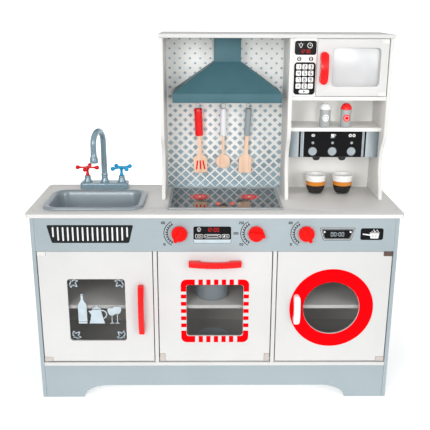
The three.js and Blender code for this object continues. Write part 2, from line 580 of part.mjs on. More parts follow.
function microwaveDoor() {
  const m = MICROWAVE;
  const bottom = m.floor + 1.2;
  const top = ROOF.bottom - 1.2;
  const outline = polygon([[m.door, bottom], [m.doorRight, bottom], [m.doorRight, top], [m.door, top]]);
  outline.holes.push(roundedRect(m.windowLeft, m.windowRight, m.windowBottom, m.windowTop, m.corner, THREE.Path));
  const pins = [
    rod(PIN.radius, top - 2, ROOF.bottom + PIN.inHole, PIN.radius, 10),
    rod(PIN.radius, m.floor - PIN.inHole, bottom + 2, PIN.radius, 10),
  ].map((pin) => pin.translate(m.doorRight - PIVOT_INSET, UPRIGHT.front + BOARD / 2, 0));
  const inner = m.doorRight - HINGE.long;
  // The blocks stop short of the door's edge, so that their corners clear the upright as it turns.
  const blocks = [[top - HINGE.short, top], [bottom, bottom + HINGE.short]].map((span) =>
    block(inner, m.doorRight - 2 * GAP, UPRIGHT.front - HINGE.proud, UPRIGHT.front + 1, ...span));
  add("microwave_door", join(frontBoard(outline, UPRIGHT.front, BOARD), ...pins, ...blocks), WHITE);
  const edge = PANE.margin;
  const pane = roundedRect(m.windowLeft - edge, m.windowRight + edge, m.windowBottom - edge,
    m.windowTop + edge, m.corner + edge);
  add("microwave_window", frontBoard(pane, UPRIGHT.front + BOARD + GAP, PANE.thickness), SMOKED);
  add("microwave_handle", pillHandle(MICROWAVE_HANDLE), RED,
    MICROWAVE_HANDLE.x, UPRIGHT.front - GAP, MICROWAVE_HANDLE.z);
}

// Hood: a hollow canopy with a chimney, open below and behind --------------------------------------
function hoodShell(inset, bottom, top, back) {
  const h = HOOD;
  const corners = (left, right, front, z) => [left, right].flatMap((x) =>
    [front, back].map((y) => new THREE.Vector3(x, y, z)));
  const canopy = new ConvexGeometry([
    ...corners(h.left + inset, h.right - inset, h.front + inset, bottom),
    ...corners(h.left + inset, h.right - inset, h.front + inset, h.bandTop),
    ...corners(h.chimneyLeft + inset, h.chimneyRight - inset, h.chimneyFront + inset, h.slopeTop - inset),
  ]);
  const chimney = block(h.chimneyLeft + inset, h.chimneyRight - inset, h.chimneyFront + inset, back,
    h.slopeTop - inset - 1, top);
  return solidOf(canopy).add(solidOf(chimney));
}

function hood() {
  const back = BACK_FACE - GAP;
  const top = ROOF.bottom - GAP;
  const outer = hoodShell(0, HOOD.bottom, top, back);
  const inner = hoodShell(HOOD.wall, HOOD.bottom - 1, top - HOOD.wall, back + 1);
  add("hood", geometryOf(outer.subtract(inner)), TEAL);
}

// Hooks and the utensils that hang on them ---------------------------------------------------------
function hookStrip() {
  const { strip, peg, tip, y, z } = HOOKS;
  const first = HOOKS.x[0] - 16;
  const last = HOOKS.x[2] + 16;
  const bar = block(first, last, strip.front, BACK_FACE - GAP, strip.bottom, strip.top);
  const pegs = HOOKS.x.flatMap((x) => [
    rodY(peg, y - 4, strip.front + 1, 10).translate(x, 0, z),
    rod(peg, z - peg, z + tip, peg, 10).translate(x, y - 4, 0),
  ]);
  add("hook_strip", join(bar, ...pegs), CAP_WHITE);
}

// Drawn in X and Z with the hook's peg at the origin; a positive tilt swings the foot to the right.
function utensil(name, x, blade, stemWidth, handleWidth, material, tilt) {
  const { handleTop, handle, stemEnd, thick } = UTENSIL;
  const half = (shape, depth) => frontBoard(shape, -depth / 2, depth);
  const handleEnd = handleTop - handle;
  const grip = rod(handleWidth / 2, handleEnd, handleTop);
  const stem = half(polygon([[-stemWidth / 2, stemEnd - 6], [stemWidth / 2, stemEnd - 6],
    [stemWidth / 2, handleEnd + 2], [-stemWidth / 2, handleEnd + 2]]), thick);
  const innerTop = HOOKS.peg + GAP;
  const rise = LOOP.outer - LOOP.inner;
  const ring = roundedRect(-LOOP.outer, LOOP.outer, handleTop - 3, innerTop + rise, LOOP.outer - 0.01);
  ring.holes.push(roundedRect(-LOOP.inner, LOOP.inner, handleTop + 1, innerTop, LOOP.inner - 0.01, THREE.Path));
  const piece = join(grip, stem, blade, half(ring, LOOP.thick));
  add(name, piece.rotateY(degrees(-tilt)), material, x, HOOKS.y, HOOKS.z);
}

function utensils() {
  const top = UTENSIL.stemEnd;
  const { thick } = UTENSIL;
  const paddle = (halfWidth, foot) => frontBoard(polygon([[-halfWidth, foot], [halfWidth, foot],
    [halfWidth, top - 7], [6, top], [-6, top], [-halfWidth, top - 7]]), -thick / 2, thick);
  const slots = [-1, 0, 1].map((side) => block(-1.7, 1.7, -thick, thick, -12, 12)
    .rotateY(degrees(-side * SLOT_LEAN)).translate(side * 8.8, 0, top - 27.5));
  utensil("slotted_turner", HOOKS.x[0], cut(paddle(17.3, -186), ...slots), 10.5, 20.4, RED, 2.2);
  const disc = rodY(18, -thick / 2, thick / 2, 28).translate(0, 0, top - 18);
  utensil("spoon", HOOKS.x[1], disc, 7, 16, CAP_WHITE, 0);
  utensil("spatula", HOOKS.x[2], paddle(16.5, -186), 10, 15.5, GREY, -2.6);
}

// Crockery and pan ---------------------------------------------------------------------------------
function crockery() {
  const inside = CUP.side.map(([r, z], i) => [r - CUP.wall, i ? z : CUP.floor]);
  const profile = [[0, 0], ...CUP.side, ...inside.reverse(), [0, CUP.floor]];
  ["cup_left", "cup_right"].forEach((name, i) =>
    add(name, turnedProfile(profile), WOOD, CUP.x[i], CUP.y, WORKTOP.top + GAP));

  const { radius, body, cap } = SHAKER;
  const shaker = [[0, 0], [radius, 0], [radius, body]];
  for (let i = 1; i < 6; i += 1) {
    const angle = (i / 6) * (Math.PI / 2);
    shaker.push([radius * Math.cos(angle), body + cap * Math.sin(angle)]);
  }
  shaker.push([0, body + cap]);
  ["salt_shaker", "pepper_shaker"].forEach((name, i) =>
    add(name, turnedProfile(shaker, 20), GREY, SHAKER.x[i], SHAKER.y, SPICE_SHELF.top + GAP));

  const pan = SAUCEPAN;
  const bowl = turnedProfile([[0, 0], [pan.radius, 0], [pan.radius, pan.height],
    [pan.radius - pan.wall, pan.height], [pan.radius - pan.wall, pan.wall], [0, pan.wall]], 36);
  const grip = rodX(pan.gripRadius, pan.radius - 1, pan.radius + pan.grip, 12)
    .translate(0, 0, pan.height - 2 * pan.gripRadius);
  add("saucepan", join(bowl, grip), GREY, pan.x, pan.y, SHELF.top + GAP);
}

cabinetBoards();
worktop();
cupboardDoor();
ovenDoor();
washerDoor();
knobs();
sink();
tap();
hob();
upperUnit();
microwaveDoor();
hood();
hookStrip();
utensils();
crockery();

// The handles reach in front of the worktop, so the middle of the whole is a little forward.
const FRONT = CABINET.front - GAP - BOW.reach;
kitchen.position.y = -(FRONT + WORKTOP.depth) / 2;

const toyKitchen = new THREE.Group();
toyKitchen.add(kitchen);
export default toyKitchen;
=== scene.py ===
"""The looks of a wooden toy kitchen: painted boards, smoked windows, plastic taps, printed dials,
a tin hood, wooden utensils and cups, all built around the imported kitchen."""
import json
import math

import bmesh
import bpy
from mathutils import Matrix, Vector


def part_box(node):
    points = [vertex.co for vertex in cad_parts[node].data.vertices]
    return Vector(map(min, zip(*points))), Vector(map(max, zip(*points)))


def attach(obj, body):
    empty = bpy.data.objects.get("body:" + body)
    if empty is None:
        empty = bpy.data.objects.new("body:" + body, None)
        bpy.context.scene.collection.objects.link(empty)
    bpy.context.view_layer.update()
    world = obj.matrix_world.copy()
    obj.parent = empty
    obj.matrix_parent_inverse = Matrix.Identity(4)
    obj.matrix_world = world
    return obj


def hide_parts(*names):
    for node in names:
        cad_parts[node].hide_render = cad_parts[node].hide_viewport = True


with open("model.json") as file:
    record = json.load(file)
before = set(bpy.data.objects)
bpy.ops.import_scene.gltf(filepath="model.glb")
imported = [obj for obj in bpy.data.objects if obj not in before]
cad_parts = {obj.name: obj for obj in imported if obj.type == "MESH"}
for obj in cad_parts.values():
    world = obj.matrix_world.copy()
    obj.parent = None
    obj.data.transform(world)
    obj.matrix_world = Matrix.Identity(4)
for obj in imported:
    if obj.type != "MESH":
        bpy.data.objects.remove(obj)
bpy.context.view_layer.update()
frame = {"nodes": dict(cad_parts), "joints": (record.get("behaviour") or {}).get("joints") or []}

MM = 0.001
LAYER = 0.12  # how far each printed layer stands above the one below, in millimetres
WELD = 2e-6  # mesh points nearer than this many metres are one
IDENTITY = Matrix.Identity(4)


# The kitchen's own boxes, in millimetres ------------------------------------------------------------
class Box:
    """A CAD node's box at rest, by its sides."""

    def __init__(self, node):
        low, high = (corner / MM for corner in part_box(node))
        self.left, self.front, self.bottom = low
        self.right, self.back, self.top = high
        self.width, self.depth, self.height = high - low
        self.x, self.y, self.z = (low + high) / 2


def pivot(body):
    """Where the joint that carries a body sits."""
    joint = next(j for j in frame["joints"] if j["child"] == body)
    return [side / MM for side in joint["pos_m"]]


HOOK_STRIP = Box("hook_strip")
HOOK_Y = HOOK_STRIP.front + 6
HOOK_Z = HOOK_STRIP.bottom + 7
HOOK_PLACES = [HOOK_STRIP.x + step for step in (-65, 0, 65)]
SPOUT_PLACES = [Box("coffee_panel").left + step for step in (70.8, 135.3)]
# Where each knob's grip points, in degrees from the right.
KNOB_TURNS = {"knob_left": -122, "knob_middle": -10, "knob_right": -58}
# How bright the studio is above, behind and ahead of the kitchen.
SKY_TOP, SKY_BACK, SKY_FRONT = 0.40, 1.03, 0.26
# Each lamp's name, place, aim, width and power, in metres and watts.
LAMPS = (("key_light", (-1.0, -2.4, 1.25), (0, 0, 0.5), 1.2, 28),
         ("fill_light", (1.7, -2.3, 1.1), (0, 0, 0.5), 1.2, 20))
# The spot lamp on the tower; its cone is in degrees.
ACCENT = {"place": (0.2, -2.3, 0.95), "aim": (0.14, 0.1, 0.66), "cone": 20, "power": 39}


# Shader maths -------------------------------------------------------------------------------------
class Wire:
    """A socket's value, so that shader maths is written as arithmetic."""

    def __init__(self, finish, socket):
        self.finish = finish
        self.socket = socket

    def math(self, operation, *values):
        return self.finish.node("ShaderNodeMath", {"operation": operation}, *values)

    def __add__(self, other):
        return self.math("ADD", self, other)

    __radd__ = __add__

    def __sub__(self, other):
        return self.math("SUBTRACT", self, other)

    def __rsub__(self, other):
        return self.math("SUBTRACT", other, self)

    def __mul__(self, other):
        return self.math("MULTIPLY", self, other)

    __rmul__ = __mul__

    def __truediv__(self, other):
        return self.math("DIVIDE", self, other)

    def __lt__(self, other):
        return self.math("LESS_THAN", self, other)

    def __gt__(self, other):
        return self.math("GREATER_THAN", self, other)

    def __abs__(self):
        return self.math("ABSOLUTE", self)

    def largest(self, other):
        return self.math("MAXIMUM", self, other)

    def wrapped(self):
        """The distance to the nearest whole number, with its sign."""
        return self - self.math("ROUND", self)

    def step(self, low, high):
        """0 below low, 1 above high, smooth between."""
        return self.finish.node("ShaderNodeMapRange", {"interpolation_type": "SMOOTHSTEP"},
                                self, low, high, 0.0, 1.0)


class Finish:
    """A material around one Principled surface, with its varied values worked out by nodes."""

    def __init__(self, name, **constants):
        self.material = bpy.data.materials.new(name)
        self.material.use_nodes = True
        tree = self.material.node_tree
        tree.nodes.clear()
        self.nodes, self.links = tree.nodes, tree.links
        self.surface = self.nodes.new("ShaderNodeBsdfPrincipled")
        output = self.nodes.new("ShaderNodeOutputMaterial")
        self.links.new(self.surface.outputs[0], output.inputs[0])
        self.place = self.node("ShaderNodeTexCoord", {"out": "Object"})
        for socket, value in constants.items():
            self.set(socket.replace("_", " "), value)

    def node(self, kind, settings, *values, **named):
        node = self.nodes.new(kind)
        out = 0
        for key, value in settings.items():
            if key == "out":
                out = value
            elif key == "stops":
                self._stops(node.color_ramp, value)
            else:
                setattr(node, key, value)
        for index, value in enumerate(values):
            self._feed(node.inputs[index], value)
        for socket, value in named.items():
            self._feed(node.inputs[socket.replace("_", " ")], value)
        return Wire(self, node.outputs[out])

    def _feed(self, socket, value):
        if isinstance(value, Wire):
            self.links.new(value.socket, socket)
        elif value is not None:
            socket.default_value = value

    @staticmethod
    def _stops(ramp, stops):
        while len(ramp.elements) < len(stops):
            ramp.elements.new(0.5)
        for element, (position, colour) in zip(ramp.elements, stops):
            element.position = position
            element.color = colour if len(colour) == 4 else (*colour, 1)

    def set(self, socket, value):
        self._feed(self.surface.inputs[socket], value)
        return self

    def stretched(self, x, y, z):
        return self.node("ShaderNodeVectorMath", {"operation": "MULTIPLY"}, self.place, (x, y, z))

    def noise(self, scale, detail=3.0, roughness=0.5, place=None):
        return self.node("ShaderNodeTexNoise", {}, Vector=place or self.place, Scale=scale,
                         Detail=detail, Roughness=roughness)

    def axis(self, index):
        """How far along X, Y or Z the point lies, in millimetres."""
        return self.node("ShaderNodeSeparateXYZ", {"out": index}, self.place) / MM

    def blend(self, amount, first, second):
        """A mix of two colours; the node's sockets for numbers and vectors are passed over."""
        passed = [None] * 5
        return self.node("ShaderNodeMix", {"data_type": "RGBA", "out": 2}, amount, *passed, first, second)

    def bump(self, height, strength, distance):
        return self.set("Normal", self.node("ShaderNodeBump", {}, Strength=strength,
                                            Distance=distance * MM, Height=height))

    def tinted(self, amount, colour, low, high):
        """The base colour, between a darker and a paler shade of one colour."""
        return self.set("Base Color", self.blend(amount, shade(colour, low), shade(colour, high)))


def rgb(red, green, blue, alpha=1.0):
    """A colour written 0 to 255, as the linear numbers that a shader takes."""
    linear = [((c / 255 + 0.055) / 1.055) ** 2.4 if c > 10 else c / 255 / 12.92
              for c in (red, green, blue)]
    return (*linear, alpha)


def shade(colour, factor):
    return (*[min(1.0, c * factor) for c in colour[:3]], 1.0)


# Finishes -----------------------------------------------------------------------------------------
def sprayed(name, colour, roughness=0.42, peel=0.10, **constants):
    """Sprayed lacquer on board: a slow unevenness, a fine orange peel and tiny dust nibs."""
    finish = Finish(name, **{"Specular_IOR_Level": 0.35, **constants})
    cloud = finish.noise(7, 3)
    peel_height = finish.noise(620, 3)
    nibs = finish.noise(2400, 1).step(0.70, 0.80)
    finish.tinted(cloud.step(0.3, 0.7), colour, 0.975, 1.02)
    finish.set("Roughness", roughness + (finish.noise(45, 4) - 0.5) * 0.14 + nibs * 0.08)
    return finish.bump(peel_height + nibs * 0.5, peel, 0.12)


def moulded(name, colour, roughness=0.3, grain=0.06, **constants):
    """Injection-moulded plastic: a faint flow variation and a fine spark-eroded grain."""
    finish = Finish(name, **constants)
    flow = finish.noise(26, 2, place=finish.stretched(1, 1, 0.35))
    finish.tinted(flow.step(0.3, 0.7), colour, 0.94, 1.04)
    finish.set("Roughness", roughness + (finish.noise(260, 4) - 0.5) * 0.16)
    return finish.bump(finish.noise(1500, 2), grain, 0.08)


def metallic_lacquer(name, colour, metal, roughness):
    """Silver-grey lacquer with flakes in it."""
    finish = Finish(name, Metallic=metal, Coat_Weight=0.35, Coat_Roughness=0.12)
    flake = finish.node("ShaderNodeTexVoronoi", {"out": 1}, Vector=finish.place, Scale=2600.0)
    tone = finish.node("ShaderNodeRGBToBW", {}, flake)
    cloud = finish.noise(30, 3)
    finish.tinted(cloud * 0.5 + tone * 0.4, colour, 0.86, 1.1)
    finish.set("Roughness", roughness + (tone - 0.5) * 0.14 + (cloud - 0.5) * 0.08)
    return finish.bump(tone, 0.04, 0.05)


def tin_paint(name, colour):
    """Powder coat on sheet metal: a fine even pebble."""
    finish = Finish(name, Specular_IOR_Level=0.25)
    pebble = finish.noise(900, 2)
    cloud = finish.noise(11, 4)
    finish.tinted(cloud.step(0.3, 0.7), colour, 0.93, 1.06)
    finish.set("Roughness", 0.44 + (pebble - 0.5) * 0.2)
    return finish.bump(pebble, 0.16, 0.12)


def bare_wood(name, light, dark):
    """Sanded beech: long grain along the height, short ray flecks and a slight fuzz."""
    finish = Finish(name, Specular_IOR_Level=0.35)
    grain = finish.noise(1, 5, 0.6, finish.stretched(260, 200, 16))
    bands = finish.noise(1, 3, 0.5, finish.stretched(90, 70, 5))
    flecks = finish.noise(1, 1, 0.5, finish.stretched(1500, 600, 160)).step(0.62, 0.70)
    amount = grain.step(0.35, 0.75) * 0.55 + bands.step(0.4, 0.65) * 0.35
    base = finish.blend(amount, light, dark)
    finish.set("Base Color", finish.blend(flecks * 0.3, base, shade(dark, 0.75)))
    finish.set("Roughness", 0.55 + (grain - 0.5) * 0.2)
    return finish.bump(grain + flecks * 0.6, 0.18, 0.12)


def smoked(name, colour, alpha):
    """Tinted acrylic sheet, glossy, a little scuffed."""
    finish = Finish(name, Coat_Weight=0.6, Coat_Roughness=0.04)
    haze = finish.noise(16, 5, 0.65)
    scuffs = finish.noise(1, 2, 0.5, finish.stretched(90, 90, 1400)).step(0.66, 0.74)
    finish.tinted(haze, colour, 0.8, 1.25)
    finish.set("Alpha", alpha + (haze - 0.5) * 0.05 + scuffs * 0.03)
    finish.set("Roughness", 0.07 + haze * 0.05 + scuffs * 0.12)
    return finish.bump(scuffs, 0.03, 0.03)


def frosted(name, colour):
    """Frosted silver film: a soft cloud of shade and a very fine sparkle."""
    finish = Finish(name, Metallic=0.2)
    cloud, sparkle = finish.noise(12, 2), finish.noise(2600, 1)
    finish.tinted(cloud.step(0.2, 0.8), colour, 0.9, 1.12)
    finish.set("Roughness", 0.34 + (sparkle - 0.5) * 0.16)
    return finish.bump(sparkle, 0.05, 0.04)


def ink(name, colour, roughness=0.35, **constants):
    """Screen-printed ink with a slight pinhole texture."""
    finish = Finish(name, **{"Specular_IOR_Level": 0.15, **constants})
    dots = finish.noise(3200, 1)
    wash = finish.noise(60, 3)
    finish.tinted(wash.step(0.3, 0.7), colour, 0.94, 1.05)
    finish.set("Roughness", roughness + (dots - 0.5) * 0.1)
    return finish.bump(dots, 0.05, 0.03)


def brushed(name, colour, along, roughness=0.3, metal=0.9):
    """Brushed metal with its scratches along one axis: along is the stretch of the noise."""
    finish = Finish(name, Metallic=metal)
    lines = finish.noise(1, 3, 0.6, finish.stretched(*along))
    finish.tinted(lines.step(0.2, 0.8), colour, 0.85, 1.12)
    finish.set("Roughness", roughness + (lines - 0.5) * 0.2)
    return finish.bump(lines, 0.08, 0.05)


def tiled_splashback(colour, tile, left, right, face, column, row, first_x, first_z, heights):
    """White lacquer printed with a lattice of diamonds that grow from the top to the worktop; its ground in
    the bay is painted light.
    """
    finish = Finish("splashback_print")
    x, y, z = (finish.axis(i) for i in range(3))
    du = (x - first_x) / column
    dv = (z - first_z) / (2 * row)
    across = abs((du + dv).wrapped()).largest(abs((du - dv).wrapped()))
    low, high = heights
    size = finish.node("ShaderNodeValToRGB", {"stops": [
        (0.0, (0.45,) * 3), (0.08, (0.39,) * 3), (0.2, (0.326,) * 3), (0.36, (0.262,) * 3),
        (0.56, (0.216,) * 3), (0.78, (0.16,) * 3), (0.95, (0.125,) * 3)]}, (z - low) / (high - low))
    wobble = (finish.noise(240, 2) - 0.5) * 0.02
    inside = 1 - (across - size + wobble).step(-0.022, 0.022)
    in_bay = (x > left) * (x < right) * (y < face + 1)
    wash = finish.noise(38, 4).step(0.3, 0.7)
    diamond = finish.blend(wash, shade(tile, 0.82), shade(tile, 1.12))
    ground = finish.blend(finish.noise(9, 3), shade(colour, 0.97), shade(colour, 1.01))
    # Painted light: the bay's ground, between the uprights and under the hood, is painted 4% paler and even,
    # to offset the shade that the hood and the bay's sides cast there.
    ground = finish.blend(in_bay, shade(colour, 1.04), ground)
    finish.set("Base Color", finish.blend(inside * in_bay, ground, diamond))
    finish.set("Roughness", 0.36 + (finish.noise(50, 3) - 0.5) * 0.12 + inside * 0.05)
    return finish.bump(finish.noise(700, 2), 0.06, 0.1)


def coffee_front(box, black_left, black_right):
    """The printed coffee machine front: brushed-silver ends that darken to their edges, and stripes."""
    finish = Finish("coffee_front_print", Coat_Weight=0.5, Coat_Roughness=0.1)
    x = finish.axis(0)
    lines = finish.noise(1, 3, 0.6, finish.stretched(500, 500, 6))
    from_left = (x - box.left) / (black_left - box.left)
    from_right = (box.right - x) / (box.right - black_right)
    dark, pale = rgb(104, 116, 122), rgb(196, 205, 209)
    stops = [(0.0, dark), (0.35, rgb(150, 162, 168)), (0.80, pale), (1.0, pale)]
    left_side = finish.node("ShaderNodeValToRGB", {"stops": stops}, from_left)
    right_side = finish.node("ShaderNodeValToRGB", {"stops": stops}, from_right)
    middle = (black_left + black_right) / 2
    silver = finish.blend(x > middle, left_side, right_side)
    finish.set("Base Color", finish.blend(lines * 0.12, silver, rgb(90, 100, 106)))
    finish.set("Roughness", 0.3 + (lines - 0.5) * 0.14)
    return finish.bump(lines, 0.05, 0.04)


def clear_plastic(name, low, high, grain, alpha, alpha_range, **constants):
    """Thin clear plastic with a faint haze in it."""
    finish = Finish(name, **constants)
    haze = finish.noise(grain, 3)
    finish.set("Base Color", finish.blend(haze, low, high))
    finish.set("Alpha", alpha + haze * alpha_range)
    return finish


def black_glass():
    """The hob's polished black glass, lightly smeared."""
    finish = Finish("hob_glass", Coat_Weight=0.55, Coat_Roughness=0.03, Specular_IOR_Level=0.45)
    smear = finish.noise(14, 4, 0.6)
    finish.set("Base Color", finish.blend(smear, rgb(6, 7, 8), rgb(12, 13, 15)))
    finish.set("Roughness", 0.03 + smear * 0.04)
    return finish.bump(finish.noise(260, 2), 0.015, 0.05)


def studio_floor():
    """A pale floor that glows behind the kitchen and falls off to plain grey ahead of it."""
    finish = Finish("studio_floor", Specular_IOR_Level=0.1, Emission_Strength=1.0)
    pale = finish.noise(0.6, 3)
    y = finish.axis(1)
    ahead, behind = (0 - y).step(550, 1300), y.step(-300, 2500)
    near_colour = finish.blend(pale, rgb(248, 248, 248), rgb(252, 252, 252))
    finish.set("Base Color", finish.blend(ahead, near_colour, rgb(206, 206, 206)))
    glow = finish.blend(behind, (0.38, 0.38, 0.38, 1), (0.9, 0.9, 0.9, 1))
    finish.set("Emission Color", finish.blend(ahead, glow, (0, 0, 0, 1)))
    return finish.set("Roughness", 0.75 + pale * 0.1)


# One white lacquer in lit and shaded copies. The door and tower copies are painted darker, as painted shade
# against the front lamps and the tower's spot lamp. The white copy stays paler for the dimmer keypad panel
# and spice shelf.
WHITE_BOARD = sprayed("white_lacquer", rgb(241, 240, 237))
DOOR_BOARD_PAINTED_SHADE = sprayed("door_lacquer_painted_shade", rgb(216, 216, 215))
TOWER_BOARD_PAINTED_SHADE = sprayed("tower_lacquer_painted_shade", rgb(228, 227, 224))
CAP_GREY = moulded("screw_cap_plastic", rgb(206, 205, 201), 0.4)
SHADE_BOARD = sprayed("white_lacquer_inside", rgb(240, 239, 236), 0.5)
GREY_BOARD = sprayed("grey_lacquer", rgb(163, 176, 181))
HARDBOARD = sprayed("hardboard_back", rgb(226, 222, 215), 0.62, 0.3)
RED_LACQUER = sprayed("red_lacquer", rgb(240, 10, 14), 0.3, 0.05)
WHITE_LACQUER = sprayed("white_handle_lacquer", rgb(238, 239, 239), 0.3, 0.05)
TIN = tin_paint("teal_powder_coat", rgb(67, 105, 114))
SILVER_GREY = metallic_lacquer("silver_grey_plastic", rgb(138, 163, 175), 0.25, 0.26)
SINK_GREY = metallic_lacquer("sink_grey_plastic", rgb(146, 158, 165), 0.15, 0.34)
KNOB_RED = moulded("knob_red_plastic", rgb(240, 12, 6), 0.36, Specular_IOR_Level=0.18)
TAP_RED = moulded("tap_red_plastic", rgb(240, 14, 22), 0.24, 0.02, Specular_IOR_Level=0.3)
TAP_BLUE = moulded("tap_blue_plastic", rgb(10, 166, 222), 0.24, 0.02, Specular_IOR_Level=0.3)
BUTTON_ORANGE = moulded("button_orange_plastic", rgb(226, 84, 58), 0.3)
HINGE_WHITE = moulded("hinge_white_plastic", rgb(196, 188, 182), 0.4)
CLEAR = clear_plastic("clear_strap_plastic", rgb(226, 232, 234), rgb(250, 250, 250), 120, 0.34, 0.16,
                      Roughness=0.08, IOR=1.45)
CLEAR.bump(CLEAR.noise(120, 3), 0.05, 0.05)
SHELL = clear_plastic("clear_cup_shell", rgb(232, 232, 230), rgb(250, 250, 248), 90, 0.015, 0.01,
                      Roughness=0.06, Specular_IOR_Level=0.6)
SMOKE = smoked("smoked_window", rgb(70, 68, 66), 0.17)
SILVER_WINDOW = frosted("silver_window", rgb(206, 207, 208))
HINGE_PALE = moulded("hinge_pale_plastic", rgb(228, 227, 223), 0.35)
HOB_GLASS = black_glass()
HOB_METAL = brushed("hob_frame_metal", rgb(178, 182, 184), (3, 900, 900), 0.32, 0.7)
STEEL = brushed("screw_steel", rgb(160, 160, 158), (1800, 40, 1800), 0.32, 1.0)
BEECH = bare_wood("beech", rgb(250, 217, 192), rgb(230, 184, 150))
WHITE_TURNED = sprayed("white_turned_lacquer", rgb(243, 245, 248), 0.3, 0.05)
GREY_TURNED = sprayed("grey_turned_lacquer", rgb(160, 171, 175), 0.3, 0.05)
RED_TURNED = sprayed("red_turned_lacquer", rgb(246, 16, 20), 0.24, 0.03, Specular_IOR_Level=0.5)
POT_GREY = sprayed("pot_grey_lacquer", rgb(152, 166, 174), 0.35, 0.05)
CUP_WHITE = sprayed("cup_white_lacquer", rgb(242, 242, 240), 0.28, 0.04)
CUP_CARAMEL = sprayed("cup_caramel_lacquer", rgb(218, 134, 34), 0.3, 0.04, Specular_IOR_Level=0.25)
CUP_BLACK = sprayed("cup_black_lacquer", rgb(22, 16, 14), 0.22, 0.04, Specular_IOR_Level=0.2)
INK_BLACK = ink("black_ink", rgb(20, 20, 22), 0.25)
INK_WHITE = ink("white_ink", rgb(236, 237, 236))
INK_GREY = ink("grey_ink", rgb(168, 178, 184))
INK_SOFT = ink("soft_grey_ink", rgb(96, 104, 108))
INK_RED = ink("red_ink", rgb(244, 0, 10), 0.45, Specular_IOR_Level=0.03)
INK_GLOW = ink("display_red_ink", rgb(206, 30, 34))
INK_PALE_BLUE = ink("pale_blue_ink", rgb(194, 208, 215))
INK_ROSE = ink("rose_ink", rgb(214, 128, 122), 0.3)
INK_SILVER = ink("silver_ink", rgb(170, 182, 188), 0.25, Metallic=0.3)
INK_DIAL = ink("dial_grey_ink", rgb(164, 173, 177), 0.3)
INK_SMOKE = ink("smoke_ink", rgb(70, 74, 78), 0.2)
GRILLE_INK = ink("grille_black_ink", rgb(34, 37, 41), 0.22)
SHAKER_GREY = sprayed("shaker_grey_lacquer", rgb(166, 170, 170), 0.3, 0.04)
SPOUT_BLACK = moulded("spout_black_plastic", rgb(24, 25, 27), 0.3)
HINGE_BROWN = moulded("hinge_brown_plastic", rgb(96, 74, 66), 0.35)
MAGNET = brushed("magnet_steel", rgb(96, 92, 88), (900, 900, 60), 0.4, 0.8)
FLOOR = studio_floor()


# Mesh tools, which take millimetres -----------------------------------------------------------------
def facing(origin, right=(1, 0, 0), up=(0, 0, 1)):
    """A frame whose x is right, y is up and z points out of the face."""
    right, up = Vector(right), Vector(up)
    matrix = Matrix((right, up, right.cross(up))).transposed().to_4x4()
    matrix.translation = Vector(origin) * MM
    return matrix


def shift(x, y, z):
    return Matrix.Translation(Vector((x, y, z)) * MM)


def spin(degrees, axis="Z"):
    return Matrix.Rotation(math.radians(degrees), 4, axis)


def polar(radius, degrees, x=0.0, y=0.0, squash=1.0):
    """The point at a radius and an angle about (x, y)."""
    angle = math.radians(degrees)
    return x + radius * math.cos(angle), y + radius * squash * math.sin(angle)


def arc(radius, start, end, steps, x=0.0, y=0.0):
    """Points along an arc about (x, y), both ends included."""
    return [polar(radius, start + (end - start) * i / steps, x, y) for i in range(steps + 1)]


def mesh_from(bm, name="mesh"):
    mesh = bpy.data.meshes.new(name)
    bm.normal_update()
    bm.to_mesh(mesh)
    bm.free()
    return mesh


def cad_mesh(node, bevel=0.8, steps=2, sharp=28):
    """A CAD node's own shape with its edges eased, as sanded and lacquered board is."""
    bm = bmesh.new()
    bm.from_mesh(frame["nodes"][node].data)
    bmesh.ops.remove_doubles(bm, verts=bm.verts, dist=WELD)
    bmesh.ops.dissolve_limit(bm, angle_limit=math.radians(0.6), verts=bm.verts, edges=bm.edges,
                             use_dissolve_boundaries=False, delimit={"NORMAL"})
    edges = [edge for edge in bm.edges
             if len(edge.link_faces) == 2 and edge.calc_face_angle(0) > math.radians(sharp)]
    if bevel:
        bmesh.ops.bevel(bm, geom=edges, offset=bevel * MM, offset_type="OFFSET", segments=steps, profile=0.5,
                        affect="EDGES", clamp_overlap=True)
    return mesh_from(bm)


def slab(loops, thickness, bevel=0.0, steps=3):
    """A flat solid from z = 0 up, with eased edges; loops are its outline and its holes."""
    curve = bpy.data.curves.new("outline", "CURVE")
    curve.dimensions = "2D"
    curve.fill_mode = "BOTH"
    curve.extrude = (thickness / 2 - bevel) * MM
    curve.bevel_depth = bevel * MM
    curve.bevel_resolution = steps
    curve.offset = -bevel * MM
    for loop in loops:
        spline = curve.splines.new("POLY")
        spline.points.add(len(loop) - 1)
        for point, (x, y) in zip(spline.points, loop):
            point.co = (x * MM, y * MM, 0, 1)
        spline.use_cyclic_u = True
    carrier = bpy.data.objects.new("outline", curve)
    bpy.context.scene.collection.objects.link(carrier)
    graph = bpy.context.evaluated_depsgraph_get()
    made = bpy.data.meshes.new_from_object(carrier.evaluated_get(graph))
    bpy.data.objects.remove(carrier)
    bm = bmesh.new()
    bm.from_mesh(made)
    bpy.data.meshes.remove(made)
    bmesh.ops.remove_doubles(bm, verts=bm.verts, dist=WELD)
    bmesh.ops.translate(bm, verts=bm.verts, vec=(0, 0, thickness / 2 * MM))
    return mesh_from(bm)


def loft(rings, close_first=True, close_last=True):
    """A skin through rings of points, each ring with as many points as the first."""
    bm = bmesh.new()
    rows = [[bm.verts.new(Vector(point) * MM) for point in ring] for ring in rings]
    count = len(rows[0])
    for low, high in zip(rows, rows[1:]):
        for i in range(count):
            j = (i + 1) % count
            bm.faces.new((low[i], low[j], high[j], high[i]))
    if close_first:
        bm.faces.new(reversed(rows[0]))
    if close_last:
        bm.faces.new(rows[-1])
    return mesh_from(bm)


